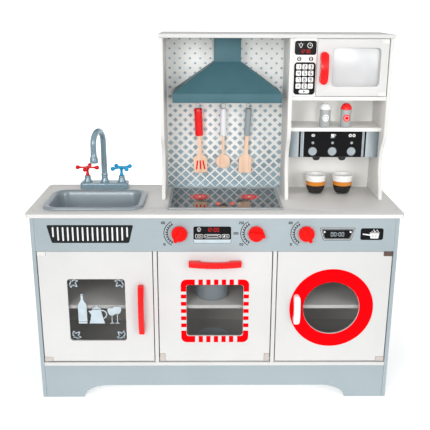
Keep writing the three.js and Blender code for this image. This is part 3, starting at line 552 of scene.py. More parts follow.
def lathe(profile, segments=64):
    """A profile of (radius, height) turned about Z; a radius of 0 at an end closes it."""
    bm = bmesh.new()
    rows = []
    for radius, height in profile:
        ring = [(0, 0)] if radius < 1e-4 else circle(radius, segments=segments)
        rows.append([bm.verts.new((x * MM, y * MM, height * MM)) for x, y in ring])
    for low, high in zip(rows, rows[1:]):
        for i in range(segments):
            j = (i + 1) % segments
            if len(low) == 1:
                bm.faces.new((low[0], high[j], high[i]))
            elif len(high) == 1:
                bm.faces.new((low[i], low[j], high[0]))
            else:
                bm.faces.new((low[i], low[j], high[j], high[i]))
    return mesh_from(bm)


def eased(points, radius, steps=4):
    """The same open line with each of its corners rounded; the two ends stay."""
    out = [points[0]]
    for before, corner, after in zip(points, points[1:], points[2:]):
        a, b, c = Vector(before), Vector(corner), Vector(after)
        reach = min(radius, (a - b).length / 2, (c - b).length / 2)
        start, end = b + (a - b).normalized() * reach, b + (c - b).normalized() * reach
        for i in range(steps + 1):
            t = i / steps
            out.append(tuple(start * (1 - t) ** 2 + b * 2 * t * (1 - t) + end * t * t))
    return out + [points[-1]]


def eased_outline(corners, radius):
    """A closed outline with each of its corners rounded."""
    closed = [corners[-1], *corners, corners[0]]
    outline = []
    for before, corner, after in zip(closed, closed[1:], closed[2:]):
        outline += eased([before, corner, after], radius, 6)[1:-1]
    return outline


def rounded(width, height, corner, x=0.0, y=0.0, steps=8):
    """A rounded rectangle's outline about (x, y)."""
    points = []
    for side, end, start in ((1, -1, -90), (1, 1, 0), (-1, 1, 90), (-1, -1, 180)):
        points += arc(corner, start, start + 90, steps,
                      x + side * (width / 2 - corner), y + end * (height / 2 - corner))
    return points


def stacked(box, levels, foot, way, steps):
    """Rounded rings in a box: each level is its inset, its distance from the foot and its corner."""
    rings = []
    for inset, height, corner in levels:
        outline = rounded(box.width - 2 * inset, box.depth - 2 * inset, corner, box.x, box.y, steps)
        rings.append([(x, y, foot + way * height) for x, y in outline])
    return rings


def circle(radius, x=0.0, y=0.0, segments=48, squash=1.0):
    return [polar(radius, 360 * i / segments, x, y, squash) for i in range(segments)]


def tube(path, radius, sides=16, closed=False):
    """A round bar of one radius, or of a radius for each point, along a path."""
    path = [Vector(p) for p in path]
    radii = radius if isinstance(radius, (list, tuple)) else [radius] * len(path)
    rings = []
    normal = None
    for i, point in enumerate(path):
        ahead = path[(i + 1) % len(path)] if closed or i + 1 < len(path) else point
        behind = path[i - 1] if closed or i else point
        along = (ahead - behind).normalized()
        if normal is None:
            normal = along.orthogonal().normalized()
        normal = (normal - along * normal.dot(along)).normalized()
        side = along.cross(normal)
        rings.append([point + (normal * math.cos(a) + side * math.sin(a)) * radii[i]
                      for a in (2 * math.pi * k / sides for k in range(sides))])
    if closed:
        return loft(rings + [rings[0]], False, False)
    return loft(rings)


def ball(radius, centre):
    bm = bmesh.new()
    bmesh.ops.create_uvsphere(bm, u_segments=28, v_segments=18, radius=radius * MM)
    bmesh.ops.translate(bm, verts=bm.verts, vec=Vector(centre) * MM)
    return mesh_from(bm)


class Piece:
    """One visible piece: meshes joined, each in its own finish."""

    def __init__(self, name):
        self.name = name
        self.bm = bmesh.new()
        self.finishes = []

    def add(self, mesh, finish, matrix=IDENTITY):
        if finish not in self.finishes:
            self.finishes.append(finish)
        mesh.transform(matrix)
        index = self.finishes.index(finish)
        for polygon in mesh.polygons:
            polygon.material_index = index
        self.bm.from_mesh(mesh)
        bpy.data.meshes.remove(mesh)
        return self

    def done(self, body, slot, *nodes, sharp=34):
        bmesh.ops.remove_doubles(self.bm, verts=self.bm.verts, dist=1e-7)
        mesh = mesh_from(self.bm, self.name)
        for finish in self.finishes:
            mesh.materials.append(finish.material)
        for polygon in mesh.polygons:
            polygon.use_smooth = True
        mesh.set_sharp_from_angle(angle=math.radians(sharp))
        piece = bpy.data.objects.new(self.name, mesh)
        bpy.context.scene.collection.objects.link(piece)
        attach(piece, body)
        if nodes:
            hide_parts(*nodes)
        return piece


# Seven-segment figures: which bars each figure lights, as (x, y, upright) on a unit cell.
BARS = {"a": (0.5, 1.0, False), "b": (1.0, 0.75, True), "c": (1.0, 0.25, True), "d": (0.5, 0.0, False),
        "e": (0.0, 0.25, True), "f": (0.0, 0.75, True), "g": (0.5, 0.5, False)}
FIGURES = {"0": "abcdef", "1": "bc", "2": "abged", "3": "abgcd", "4": "fgbc", "5": "afgcd",
           "6": "afgcde", "7": "abc", "8": "abcdefg", "9": "abfgcd"}


class Print:
    """Flat shapes printed on a face, placed from a point on it."""

    def __init__(self, piece, matrix):
        self.piece = piece
        self.matrix = matrix

    def shape(self, points, finish, layer=1):
        """A filled outline, standing from the face to the top of its layer."""
        if sum(a[0] * b[1] - b[0] * a[1] for a, b in zip(points, points[1:] + points[:1])) < 0:
            points = points[::-1]
        rings = [[(x, y, height) for x, y in points] for height in (0, layer * LAYER)]
        self.piece.add(loft(rings), finish, self.matrix)
        return self

    def plate(self, x, y, width, height, corner, finish, layer=1):
        return self.shape(rounded(width, height, corner, x, y, 5), finish, layer)

    def disc(self, x, y, radius, finish, layer=1, squash=1.0, segments=32):
        return self.shape(circle(radius, x, y, segments, squash), finish, layer)

    def bar(self, x0, y0, x1, y1, width, finish, layer=1):
        along = Vector((x1 - x0, y1 - y0)).normalized() * width / 2
        side = Vector((-along.y, along.x))
        ends = ((x0, y0, -1), (x1, y1, -1), (x1, y1, 1), (x0, y0, 1))
        return self.shape([(x + side.x * s, y + side.y * s) for x, y, s in ends], finish, layer)

    def ring(self, x, y, inner, outer, finish, layer=1, start=0, end=360, steps=48):
        """An arc band, as short pieces that share their edges."""
        bm = bmesh.new()
        closed = end - start >= 360
        rows = []
        for i in range(steps if closed else steps + 1):
            turn = start + (end - start) * i / steps
            rows.append([bm.verts.new(Vector((*polar(radius, turn, x, y), height)) * MM)
                         for radius, height in ((inner, 0), (outer, 0), (outer, layer * LAYER),
                                                (inner, layer * LAYER))])
        pairs = list(zip(rows, rows[1:])) + ([(rows[-1], rows[0])] if closed else [])
        for first, second in pairs:
            for k in range(4):
                m = (k + 1) % 4
                bm.faces.new((first[k], first[m], second[m], second[k]))
        if not closed:
            bm.faces.new(reversed(rows[0]))
            bm.faces.new(rows[-1])
        bmesh.ops.recalc_face_normals(bm, faces=bm.faces)
        self.piece.add(mesh_from(bm), finish, self.matrix)
        return self

    def figures(self, text, x, y, height, finish, layer=1, weight=0.16):
        """Figures in seven bars each, centred on (x, y); a colon is two dots."""
        width = height * 0.5
        advance = {":": height * 0.42}
        total = sum(advance.get(c, height * 0.78) for c in text)
        left = x - total / 2
        for figure in text:
            step = advance.get(figure, height * 0.78)
            centre = left + step / 2
            if figure == ":":
                for part in (0.3, 0.7):
                    self.disc(centre, y + (part - 0.5) * height, height * weight * 0.6, finish, layer)
            for bar in FIGURES.get(figure, ""):
                bx, by, upright = BARS[bar]
                cx, cy = centre + (bx - 0.5) * width, y + (by - 0.5) * height
                half = (height * 0.21) if upright else width * 0.42
                dx, dy = (0, half) if upright else (half, 0)
                self.bar(cx - dx, cy - dy, cx + dx, cy + dy, height * weight, finish, layer)
            left += step
        return self


# Boards -------------------------------------------------------------------------------------------
def boards():
    """The cabinet, worktop and tower boards, each with its edges eased."""
    for finish, slot, nodes in (
            (GREY_BOARD, "painted_grey", ("left_side_panel", "right_side_panel", "plinth_board",
                                          "control_fascia")),
            (DOOR_BOARD_PAINTED_SHADE, "painted_white", ("left_divider", "right_divider", "base_panel", "roof_panel")),
            (TOWER_BOARD_PAINTED_SHADE, "painted_white", ("bay_side_panel", "upper_divider", "upper_right_panel",
                                            "worktop", "microwave_floor")),
            (WHITE_BOARD, "painted_white", ("keypad_panel", "spice_shelf")),
            (SHADE_BOARD, "painted_white", ("cupboard_shelf", "oven_shelf", "washer_shelf"))):
        for node in nodes:
            Piece(f"{node}_lacquered").add(cad_mesh(node), finish).done("cabinet", slot, node)
    lower = Piece("lower_back_panel_board").add(cad_mesh("lower_back_panel", 0.3), HARDBOARD)
    lower.done("cabinet", "painted_white", "lower_back_panel")


def splashback():
    bay, middle = Box("bay_side_panel"), Box("upper_divider")
    panel = Box("upper_back_panel")
    column, row, first = 25.66, 11.934, 21
    finish = tiled_splashback(rgb(246, 246, 243), rgb(158, 180, 191), bay.right, middle.left,
                              panel.front, column, row, panel.left + first, panel.top - 19.2,
                              (panel.bottom, panel.top))
    Piece("splashback_panel").add(cad_mesh("upper_back_panel", 0.3), finish).done(
        "cabinet", "painted_white", "upper_back_panel")


# Doors --------------------------------------------------------------------------------------------
def doors():
    for body in ("cupboard_door", "oven_door", "washer_door", "microwave_door"):
        Piece(f"{body}_board").add(cad_mesh(body), DOOR_BOARD_PAINTED_SHADE).done(body, "painted_white", body)
    for node in ("cupboard_hinge_top", "cupboard_hinge_bottom", "washer_hinge_top", "washer_hinge_bottom",
                 "oven_hinge_left", "oven_hinge_right"):
        body = node.split("_hinge")[0] + "_door"
        finish = {"washer_hinge_top": HINGE_BROWN, "cupboard_hinge_top": HINGE_PALE}.get(node, HINGE_WHITE)
        piece = Piece(f"{node}_block").add(cad_mesh(node, 0.7, 3), finish)
        piece.done(body, "white_plastic", node)


def microwave_hinge_plates():
    """The beige faces of the microwave door's two hinge blocks."""
    x = pivot("microwave_door")[0] - 5.5
    front = Box("microwave_door").front + 0.4
    piece = Piece("microwave_hinge_plates")
    for z in (Box("microwave_floor").top + 6.7, Box("keypad_panel").top - 6.4):
        plate = slab([rounded(19.6, 10.6, 1.2)], 0.5, 0.2)
        piece.add(plate, HINGE_PALE, facing((x, front, z)))
    piece.done("microwave_door", "white_plastic")


def screw_face(piece, x, y, z, radius):
    """A small cross-head screw set in a face that looks forward; its cross recess is painted shade."""
    at = facing((x, y, z))
    head = [(0, -1.2), (radius, -1.2), (radius, 0.02), (radius * 0.8, 0.28), (0, 0.34)]
    piece.add(lathe(head, 24), STEEL, at)
    # The cross recess is painted shade: two dark grey bars printed on the flat head.
    drawing = Print(piece, at @ shift(0, 0, 0.3))
    reach = radius * 0.6
    drawing.bar(-reach, 0, reach, 0, radius * 0.3, INK_SOFT)
    drawing.bar(0, -reach, 0, reach, radius * 0.3, INK_SOFT, 1.3)


def windows():
    for name, finish in (("cupboard", SMOKE), ("oven", SMOKE), ("washer", SMOKE),
                         ("microwave", SILVER_WINDOW)):
        node = f"{name}_window"
        Piece(f"{name}_window_pane").add(cad_mesh(node, 0.3), finish).done(
            f"{name}_door", "smoked_plastic", node)


def leaf(x, y, turn, length, width):
    """A pointed leaf's outline from (x, y), along the angle turn."""
    along = Vector(polar(1, turn))
    across = Vector((-along.y, along.x))
    steps = 12
    edge = [(i / steps, math.sin(math.pi * (i / steps) ** 0.8)) for i in range(steps + 1)]
    points = [along * length * t + across * width / 2 * w for t, w in edge]
    points += [along * length * t - across * width / 2 * w for t, w in edge[-2:0:-1]]
    return [(x + p.x, y + p.y) for p in points]


def sprig(drawing, x, y, turn):
    """A corner sprig: three outlined leaves and a stem."""
    for lean, size in ((-50, 0.85), (0, 1.0), (50, 0.85)):
        drawing.shape(leaf(x, y, turn + lean, 20 * size, 10 * size), INK_PALE_BLUE)
        inset = polar(3.6, turn + lean, x, y)
        drawing.shape(leaf(*inset, turn + lean, 12.6 * size, 5.6 * size), INK_SMOKE, 2)
    drawing.bar(x, y, *polar(5, turn + 180, x, y), 1.5, INK_PALE_BLUE)


def cupboard_print():
    """A bottle, a jug and two goblets in pale ink, with a sprig in each corner."""
    pane = Box("cupboard_window")
    piece = Piece("cupboard_window_print")
    drawing = Print(piece, facing((pane.x, pane.front, pane.z)))
    pale, foot = INK_PALE_BLUE, -37.5
    bottle = [(-10.5, 0), (10.5, 0), (10.5, 44), (9.6, 49), (6, 54), (3.4, 58), (2.8, 62), (2.8, 74),
              (-2.8, 74), (-2.8, 62), (-3.4, 58), (-6, 54), (-9.6, 49), (-10.5, 44)]
    drawing.shape([(x - 37, 1.05 * y + foot) for x, y in bottle], pale)
    drawing.bar(-39.9, foot + 74, -34.1, foot + 74, 0.9, INK_SMOKE, 2)
    drawing.bar(-47.5, foot + 5, -26.5, foot + 5, 0.9, INK_SMOKE, 2)
    jug = [(-19, 0), (19, 0), (15.5, 12), (12.5, 24), (10.8, 34), (10.5, 37), (-10.5, 37), (-11.5, 34.5),
           (-20.5, 33.5), (-16.5, 28), (-14, 23), (-15.5, 12)]
    drawing.shape([(x - 2.5, y + foot) for x, y in jug], pale)
    lid = [(-12.5, 38.6), (12.5, 38.6), (6.5, 42), (2.2, 43.5), (2.4, 47.5), (-2.4, 47.5), (-2.2, 43.5),
           (-6.5, 42)]
    drawing.shape([(x - 2.5, y + foot) for x, y in lid], pale)
    drawing.ring(10.5, foot + 24, 9.4, 12, pale, 1, -84, 104, 20)
    for x, height, layer in ((34, 46, 1), (47, 50, 2)):
        bowl = [(x + 10.2 * math.sin(a), foot + height - 11 - 14.5 * math.cos(a))
                for a in (math.radians(-112 + 224 * i / 24) for i in range(25))]
        drawing.shape(bowl, pale, layer)
        drawing.bar(x, foot + 2, x, foot + height - 23, 1.6, pale, layer)
        base = [(x - 6.5, foot), (x + 6.5, foot), (x + 1, foot + 2.6), (x - 1, foot + 2.6)]
        drawing.shape(base, pale, layer)
    half_x, half_z = pane.width / 2 - 16, pane.height / 2 - 15
    for side in (-1, 1):
        for end in (-1, 1):
            sprig(drawing, side * half_x, end * half_z, math.degrees(math.atan2(-end, -side)))
    piece.done("cupboard_door", "smoked_plastic")


def handles():
    """Three bow handles and one pill pull, each standing on its door's face."""
    for name, finish, slot in (("cupboard", RED_LACQUER, "red_paint"), ("oven", RED_LACQUER, "red_paint"),
                               ("washer", WHITE_LACQUER, "painted_white"),
                               ("microwave", RED_LACQUER, "red_paint")):
        node = f"{name}_handle"
        mesh = cad_mesh(node, 2.0, 4, 40)
        Piece(f"{name}_handle_bow").add(mesh, finish).done(f"{name}_door", slot, node, sharp=50)


def washer_ring():
    window, board = Box("washer_window"), Box("washer_door")
    mesh = slab([circle(101.5, segments=128), circle(68.3, segments=128)], 0.5, 0.15)
    Piece("washer_red_ring").add(mesh, INK_RED, facing((window.x, board.front, window.z))).done(
        "washer_door", "red_paint")


def oven_stripes():
    """The printed frame round the oven window: solid corners with five bars on each side."""
    window = Box("oven_window")
    piece = Piece("oven_window_stripes")
    drawing = Print(piece, facing((window.x, Box("oven_door").front, window.z - 1.6)))
    outer_x, outer_z, inner_x, inner_z, lower_z = 82.0, 83.1, 68.9, 69.2, 66.2
    corner, nook, arm_z = 14, 6, 31.5
    for side_x in (-1, 1):
        arm_x = 34 if side_x < 0 else 27
        for side_z in (-1, 1):
            near = inner_z if side_z > 0 else lower_z
            path = [(outer_x - arm_x, outer_z)]
            path += arc(corner, 90, 0, 10, outer_x - corner, outer_z - corner)
            path += [(outer_x, outer_z - arm_z), (inner_x, outer_z - arm_z)]
            path += arc(nook, 0, 90, 6, inner_x - nook, near - nook)
            path += [(outer_x - arm_x, near)]
            drawing.shape([(side_x * x, side_z * z) for x, z in path], INK_RED)
    for i in range(-2, 3):
        across, along = i * 18.6 + 3.0, i * 19.1 + 0.8
        for side, near in ((1, inner_z), (-1, lower_z)):
            drawing.plate(across, side * (outer_z + near) / 2, 10.6, outer_z - near, 0.5, INK_RED)
            drawing.plate(side * (outer_x + inner_x) / 2, along, outer_x - inner_x, 10.2, 0.5, INK_RED)
    piece.done("oven_door", "red_paint")


# Control fascia -----------------------------------------------------------------------------------
def knobs():
    """Ribbed discs with a raised grip that points at the dial."""
    front = Box("control_fascia").front - 0.3
    radius, thick, grip_height = 18.5, 9, 8
    profile = eased([(0, 0), (radius, 0), (radius, thick), (0, thick)], 1.3)
    half = [(21, 2.4), (19.5, 4.2), (13, 5), (-8, 5), (-16, 3.8)]
    grip = half + [(x, -y) for x, y in half[::-1]]
    for name, turn in KNOB_TURNS.items():
        x, _, z = pivot(name)
        at = facing((x, front, z)) @ spin(turn)
        piece = Piece(f"{name}_cap").add(lathe(profile, 72), KNOB_RED, at)
        for i in range(36):
            rib = slab([rounded(1.0, 1.5, 0.3)], thick - 3.2)
            piece.add(rib, KNOB_RED, at @ spin(10 * i) @ shift(radius - 0.55, 0, 1.2))
        piece.add(slab([grip], grip_height + 1, 1.3, 3), KNOB_RED, at @ shift(0, 0, thick - 1))
        piece.done(name, "red_plastic", name, sharp=45)


def dial(drawing, x, numbers):
    """Two bold arcs with ten teeth between them about the left of a knob, and their end labels."""
    middle = x - 3.5
    for inner, outer in ((31.9, 33.5), (23.8, 25.2)):
        drawing.ring(middle, 0, inner, outer, INK_BLACK, 1, 117, 243, 40)
    for i in range(10):
        turn = 122 + 116 * i / 9
        drawing.bar(*polar(24.6, turn, middle), *polar(29.0, turn, middle), 2.7, INK_BLACK)
    for text, dx, dy in numbers:
        drawing.figures(text, x + dx, dy, 5.2, INK_BLACK, 1, 0.24)


def fascia_prints():
    """The grille, dials, clock, timer and pot signs printed on the control board."""
    board = Box("control_fascia")
    piece = Piece("control_fascia_prints")
    drawing = Print(piece, facing((0, board.front, pivot("knob_left")[2])))
    two_way = (("100", -39.0, 26), ("10", -36.5, -27))
    three_way = (("250", -34.9, 26), ("200", -47.5, 0.3), ("150", -35.5, -27))
    for name, numbers in (("knob_left", two_way), ("knob_middle", three_way), ("knob_right", two_way)):
        dial(drawing, pivot(name)[0], numbers)
    grille(drawing)
    clock_sign(drawing, -6.7, -2.4)
    timer_sign(drawing, 286.5, -1.5)
    pot_sign(drawing, 367.5, -1.6)
    piece.done("cabinet", "painted_grey")


def grille(drawing):
    """A rounded trapezoid with sixteen slots, the outer ones shortened by its slanting sides."""
    top, bottom, left, right = 20.4, -23.6, -392.7, -190.9
    slant = [(left, top), (right, top), (right - 10.8, bottom), (left + 10.5, bottom)]
    drawing.shape(eased_outline(slant, 4), GRILLE_INK)
    first, last, count, slot_top = left + 14.5, right - 14.5, 16, 15.4
    for i in range(count):
        x = first + (last - first) * i / (count - 1)
        from_end = min(i, count - 1 - i)
        foot = (-9, -17.6, -18.6)[min(from_end, 2)]
        drawing.plate(x, (foot + slot_top) / 2, 3.6, slot_top - foot, 1.8, INK_WHITE, 2)


def frame_line(drawing, x, y, width, height, corner, weight, layer):
    """A rounded white frame on black: a plate with a darker plate over its middle."""
    drawing.plate(x, y, width, height, corner, INK_WHITE, layer)
    drawing.plate(x, y, width - 2 * weight, height - 2 * weight, corner - weight, INK_BLACK, layer + 1)


def clock_sign(drawing, x, y):
    """The oven clock: a lamp sign, the time, and a row of three framed signs over a silver strip."""
    drawing.plate(x, y - 1.2, 88.4, 41.4, 4.2, INK_BLACK)
    drawing.plate(x, y - 1.2, 87.0, 40.0, 3.6, INK_PALE_BLUE, 2)
    drawing.plate(x, y + 3.2, 87.0, 31.4, 2.6, INK_BLACK, 3)
    drawing.ring(x - 31, y + 12.9, 3.4, 4.4, INK_WHITE, 4)
    drawing.bar(x - 31, y + 11, x - 31, y + 15.6, 1.0, INK_WHITE, 4)
    drawing.bar(x - 34, y + 7.6, x - 28, y + 7.6, 0.9, INK_WHITE, 4)
    drawing.figures("12:00", x + 1, y + 11.4, 8.6, INK_GLOW, 4, 0.15)
    row = y - 4.4
    frame_line(drawing, x - 30.5, row, 18.5, 9.6, 2, 0.9, 4)
    drawing.ring(x - 30.5, row, 2.0, 2.8, INK_WHITE, 6)
    for side in (-1, 1):
        drawing.bar(x - 30.5 + side * 4.4, row - 2.4, x - 30.5 + side * 4.4, row + 2.4, 0.8, INK_WHITE, 6)
    frame_line(drawing, x + 0.6, row, 38, 9.6, 2, 0.9, 4)
    frame_line(drawing, x + 0.6, row, 26, 5, 1, 0.8, 6)
    for side in (-1, 1):
        drawing.disc(x + 0.6 + side * 15.8, row, 1.1, INK_WHITE, 6)
    frame_line(drawing, x + 31, row, 17.5, 9.6, 2, 0.9, 4)
    drawing.shape([(x + 25.6, row - 2.2), (x + 29, row - 2.2), (x + 31, row + 2.4), (x + 27, row + 2.4)],
                  INK_WHITE, 6)
    drawing.bar(x + 32, row - 2.2, x + 36.4, row + 2, 0.9, INK_WHITE, 6)
    drawing.bar(x + 32, row + 2, x + 36.4, row - 2.2, 0.9, INK_WHITE, 6)


def trapezoid(x, y, top, bottom, height, corner):
    return eased_outline([(x - top / 2, y + height / 2), (x + top / 2, y + height / 2),
                          (x + bottom / 2, y - height / 2), (x - bottom / 2, y - height / 2)], corner)


def timer_sign(drawing, x, y):
    """The timer: a double-framed trapezoid with 00:00 and a dot at each upper corner."""
    plates = ((84, 66, 31, INK_BLACK), (81, 63.5, 28, INK_WHITE), (78.6, 61.5, 25.8, INK_BLACK),
              (75, 58.5, 22.6, INK_GREY), (73, 57, 21, INK_BLACK))
    for layer, (width, foot, height, finish) in enumerate(plates, 1):
        drawing.shape(trapezoid(x, y, width, foot, height, 4), finish, layer)
    for side in (-1, 1):
        drawing.disc(x + side * 30.5, y + 5.4, 2.3, INK_WHITE, 6)
    drawing.figures("00:00", x, y - 0.4, 9.2, INK_GREY, 6, 0.14)


def pot_sign(drawing, x, y):
    """A pan with a long handle over rising steam."""
    drawing.plate(x, y, 53.6, 29, 5, INK_BLACK)
    pan = [(-4.5, 2), (17, 2), (15.6, -9.5), (14.6, -10.6), (-2.2, -10.6), (-3.2, -9.5)]
    drawing.shape([(x + a, y + b) for a, b in pan], INK_WHITE, 2)
    handle = [(x - 21.5, y + 1.6), (x - 4, y - 0.6), (x - 4, y - 4.2), (x - 21.5, y - 1.2)]
    drawing.shape(handle, INK_WHITE, 2)
    drawing.bar(x - 5.6, y + 3.4, x + 18, y + 3.4, 1.2, INK_WHITE, 2)
    for i, (dx, dy) in enumerate(((0, 7), (4, 10), (8, 6.6), (11.4, 9.6), (14.4, 6.8), (5.6, 6.4))):
        drawing.disc(x + dx, y + dy, 1.1 + 0.3 * (i % 2), INK_WHITE, 2, segments=16)
    drawing.bar(x + 2.4, y - 1, x + 2.4, y - 8, 0.9, INK_BLACK, 3)
    drawing.bar(x + 9.6, y - 1, x + 9.6, y - 8, 0.9, INK_BLACK, 3)


# Sink and tap -------------------------------------------------------------------------------------
def sink():
    """A moulded basin: a rolled rim with a raised lip, a soft-cornered bowl and a drain whose eight holes are
    painted shade, black discs on its dish.
    """
    box = Box("sink_basin")
    bowl_depth, drain_radius = 65.8, 14
    levels = ((0.3, 6.0, 36.5), (0.0, 4.4, 37), (0.2, 2.4, 37), (1.2, 0.8, 36.5), (3.0, 0.1, 36),
              (5.5, 0.0, 35), (10.0, 0.7, 31), (12.6, 1.8, 29), (14.0, 3.6, 28), (15.0, 7.0, 27),
              (16.0, 12, 26), (18.2, 34, 25), (20.8, 57, 25), (23.5, 62, 25), (27.5, 64.6, 24),
              (33.0, 65.4, 20), (60.0, bowl_depth, 8))
    basin = loft(stacked(box, levels, box.top, -1, 10), False, False)
    piece = Piece("sink_basin_moulding").add(basin, SINK_GREY)
    drain = shift(box.x, box.y, box.top - bowl_depth)
    floor = slab([rounded(box.width - 119.8, box.depth - 119.8, 8), circle(drain_radius, segments=32)], 1.2)
    piece.add(floor, SINK_GREY, drain @ shift(0, 0, -1.15))
    dish = [(14.2, -1.0), (14.6, 0.4), (13, 0.5), (11, -0.6), (4, -1.0), (0, -1.0)]
    piece.add(lathe(dish, 40), STEEL, drain)
    # The drain's holes are painted shade: eight black discs on the dish, no holes cut.
    drawing = Print(piece, drain @ shift(0, 0, -0.8))
    for i in range(8):
        drawing.disc(*polar(7, 45 * i), 1.4, INK_BLACK, 1.4, segments=16)
    piece.done("cabinet", "grey_plastic", "sink_basin", sharp=40)
    # The bowl's underside, seen from below and through the cupboard window.
    levels = ((13.0, 7.0, 26), (15, 34, 25), (18, 60, 25), (21.5, 67, 24), (30, 68.1, 20))
    under = loft(stacked(box, levels, box.top, -1, 10), False, True)
    Piece("sink_bowl_underside").add(under, SINK_GREY).done("cabinet", "grey_plastic")


def tap():
    """A moulded tap body with three collars, a tall bent spout and two cross handles with balls."""
    base = Box("faucet_base")
    plate_top = base.bottom + 16
    levels = ((0.6, 0, 8.4), (0, 0.8, 9), (0, 13.0, 9), (0.5, 14.8, 8.5), (1.8, 15.8, 7.4), (3.4, 16, 6))
    plate = loft(stacked(base, levels, base.bottom, 1, 8))
    piece = Piece("faucet_base_moulding").add(plate, SILVER_GREY)
    collar = [(0, -0.5), (12.6, -0.5), (12.6, 1.2), (11.9, 2.0), (10.6, 2.4), (9.8, 5), (8.4, 10),
              (7.6, 12.6), (8.4, 13.4), (8.6, 15), (8.0, 16.6), (7.0, 17.0), (0, 17.0)]
    for x in (Box("hot_tap_handle").x, base.x, Box("cold_tap_handle").x):
        piece.add(lathe(collar, 48), SILVER_GREY, shift(x, base.y, plate_top))
    piece.done("cabinet", "grey_plastic", "faucet_base", sharp=40)
    seat = plate_top + 17.3
    tap_spout(base, seat)
    tap_handle("hot_tap_handle", seat, -4, TAP_RED, "red_plastic")
    tap_handle("cold_tap_handle", seat, 38, TAP_BLUE, "blue_plastic")


def tap_spout(base, seat):
    """The tall spout: a foot, a half turn and a flared nozzle."""
    turn = math.radians(-15)
    forward = Vector((math.sin(turn), -math.cos(turn), 0))
    reach, centre_z, radius = 31, 608, 7.5
    path, radii = [], []
    for height, r in ((0, 8.6), (1.4, 8.9), (3.4, 8.9), (5, 8.2), (7, 7.9), (20, 7.7), (60, radius)):
        path.append(Vector((base.x, base.y, seat + height)))
        radii.append(r)
    for along, rise in arc(reach, 180, 0, 28):
        path.append(Vector((base.x, base.y, centre_z + rise)) + forward * (reach + along))
        radii.append(radius)
    end = path[-1]
    for drop, r in ((16, 7.6), (27, 8.0), (28.4, 8.6), (30, 9.4), (33, 10.2), (38, 10.9), (42.4, 11.3),
                    (43.6, 11.1), (44, 10.6), (43.8, 9.4), (41, 8.6), (36, 8.2), (36, 0.1)):
        path.append(end + Vector((0, 0, -drop)))
        radii.append(r)
    spout = Piece("faucet_spout_tube").add(swept(path, radii, 28), SILVER_GREY)
    spout.done("faucet_spout", "grey_plastic", "faucet_spout", sharp=50)


def tap_handle(node, seat, turn, finish, slot):
    """A hub with four arms that end in balls."""
    box = Box(node)
    hub = [(0, 0), (4.4, 0), (5.0, 0.8), (5.0, 4), (3.7, 6), (3.4, 12), (4.4, 16), (6.2, 18), (6.8, 20.4),
           (6.2, 22.8), (4.4, 24.2), (0, 24.8)]
    arm = [(2.9, 3), (2.6, 8), (2.3, 14), (2.5, 18), (3.4, 20.4), (4.6, 22.2), (5.3, 24.4), (5.5, 26.4),
           (5.1, 28.6), (3.8, 30.2), (1.9, 31.0), (0, 31.1)]
    at = shift(box.x, box.y, seat) @ spin(turn)
    handle = Piece(f"{node}_cross").add(lathe(hub, 40), finish, at)
    for i in range(4):
        handle.add(lathe(arm, 24), finish, at @ spin(90 * i) @ shift(0, 0, 20.8) @ spin(90, "Y"))
    handle.done(node, slot, node, sharp=60)


def swept(path, radii, sides):
    """A tube whose rings lie square to an upright path that bends in one plane."""
    rings = []
    side = (path[-1] - path[0]).cross(Vector((0, 0, 1))).normalized()
    last = Vector((0, 0, 1))
    for i, point in enumerate(path):
        ahead, behind = path[min(i + 1, len(path) - 1)], path[max(i - 1, 0)]
        step = ahead - behind
        last = step.normalized() if step.length > 3 and step.dot(last) > 0 else last
        across = side.cross(last)
        rings.append([point + (side * math.cos(a) + across * math.sin(a)) * radii[i]
                      for a in (2 * math.pi * k / sides for k in range(sides))])
    return loft(rings)


# Hob ----------------------------------------------------------------------------------------------
def hob():
    """A slim metal frame round black glass, with two ring signs and two push buttons."""
    box = Box("hob")
    names = ("hob_button_left", "hob_button_right")
    buttons = [Box(name) for name in names]
    frame_width, corner, inner_corner, glass_height = 6.4, 6, 3, 3.7
    width, depth = box.width - 2 * frame_width, box.depth - 2 * frame_width
    under, over = shift(box.x, box.y, box.bottom), box.bottom + glass_height
    piece = Piece("hob_glass_and_frame")
    band = [rounded(box.width, box.depth, corner), rounded(width, depth, inner_corner)]
    piece.add(slab(band, box.height, 0.9), HOB_METAL, under)
    holes = [circle(6.3, button.x - box.x, button.y - box.y, 32) for button in buttons]
    glass = [rounded(width + 0.2, depth + 0.2, inner_corner)] + holes
    piece.add(slab(glass, glass_height), HOB_GLASS, under)
    for button in buttons:
        bezel = slab([circle(7.6, segments=40), circle(6.2, segments=40)], 0.5, 0.2)
        piece.add(bezel, HOB_METAL, shift(button.x, button.y, over))
    piece.done("cabinet", "black_plastic", "hob", sharp=40)

    marks = Piece("hob_ring_signs")
    first, apart, from_back = 75, 123.5, 88.5
    for x in (box.left + first, box.left + first + apart):
        ring_sign(Print(marks, shift(x, box.back - from_back, over)))
    for button, dx in zip(buttons, (-16, 16)):
        drawing = Print(marks, shift(button.x, button.y, over))
        drawing.ring(dx, 0, 2.6, 3.3, INK_WHITE, 1, 120, 420, 24)
        drawing.bar(dx, 0.6, dx, 4.2, 0.7, INK_WHITE)
    marks.done("cabinet", "black_plastic")

    for button, name in zip(buttons, names):
        profile = [(0, button.bottom), (5.9, button.bottom), (5.9, button.top - 1.4), (5.5, button.top - 0.6),
                   (4.6, button.top - 0.15), (3.4, button.top - 0.1), (2.6, button.top - 0.5),
                   (0, button.top - 0.7)]
        cap = Piece(f"{name}_cap").add(lathe(profile, 40), BUTTON_ORANGE, shift(button.x, button.y, 0))
        cap.done(name, "red_plastic", name)


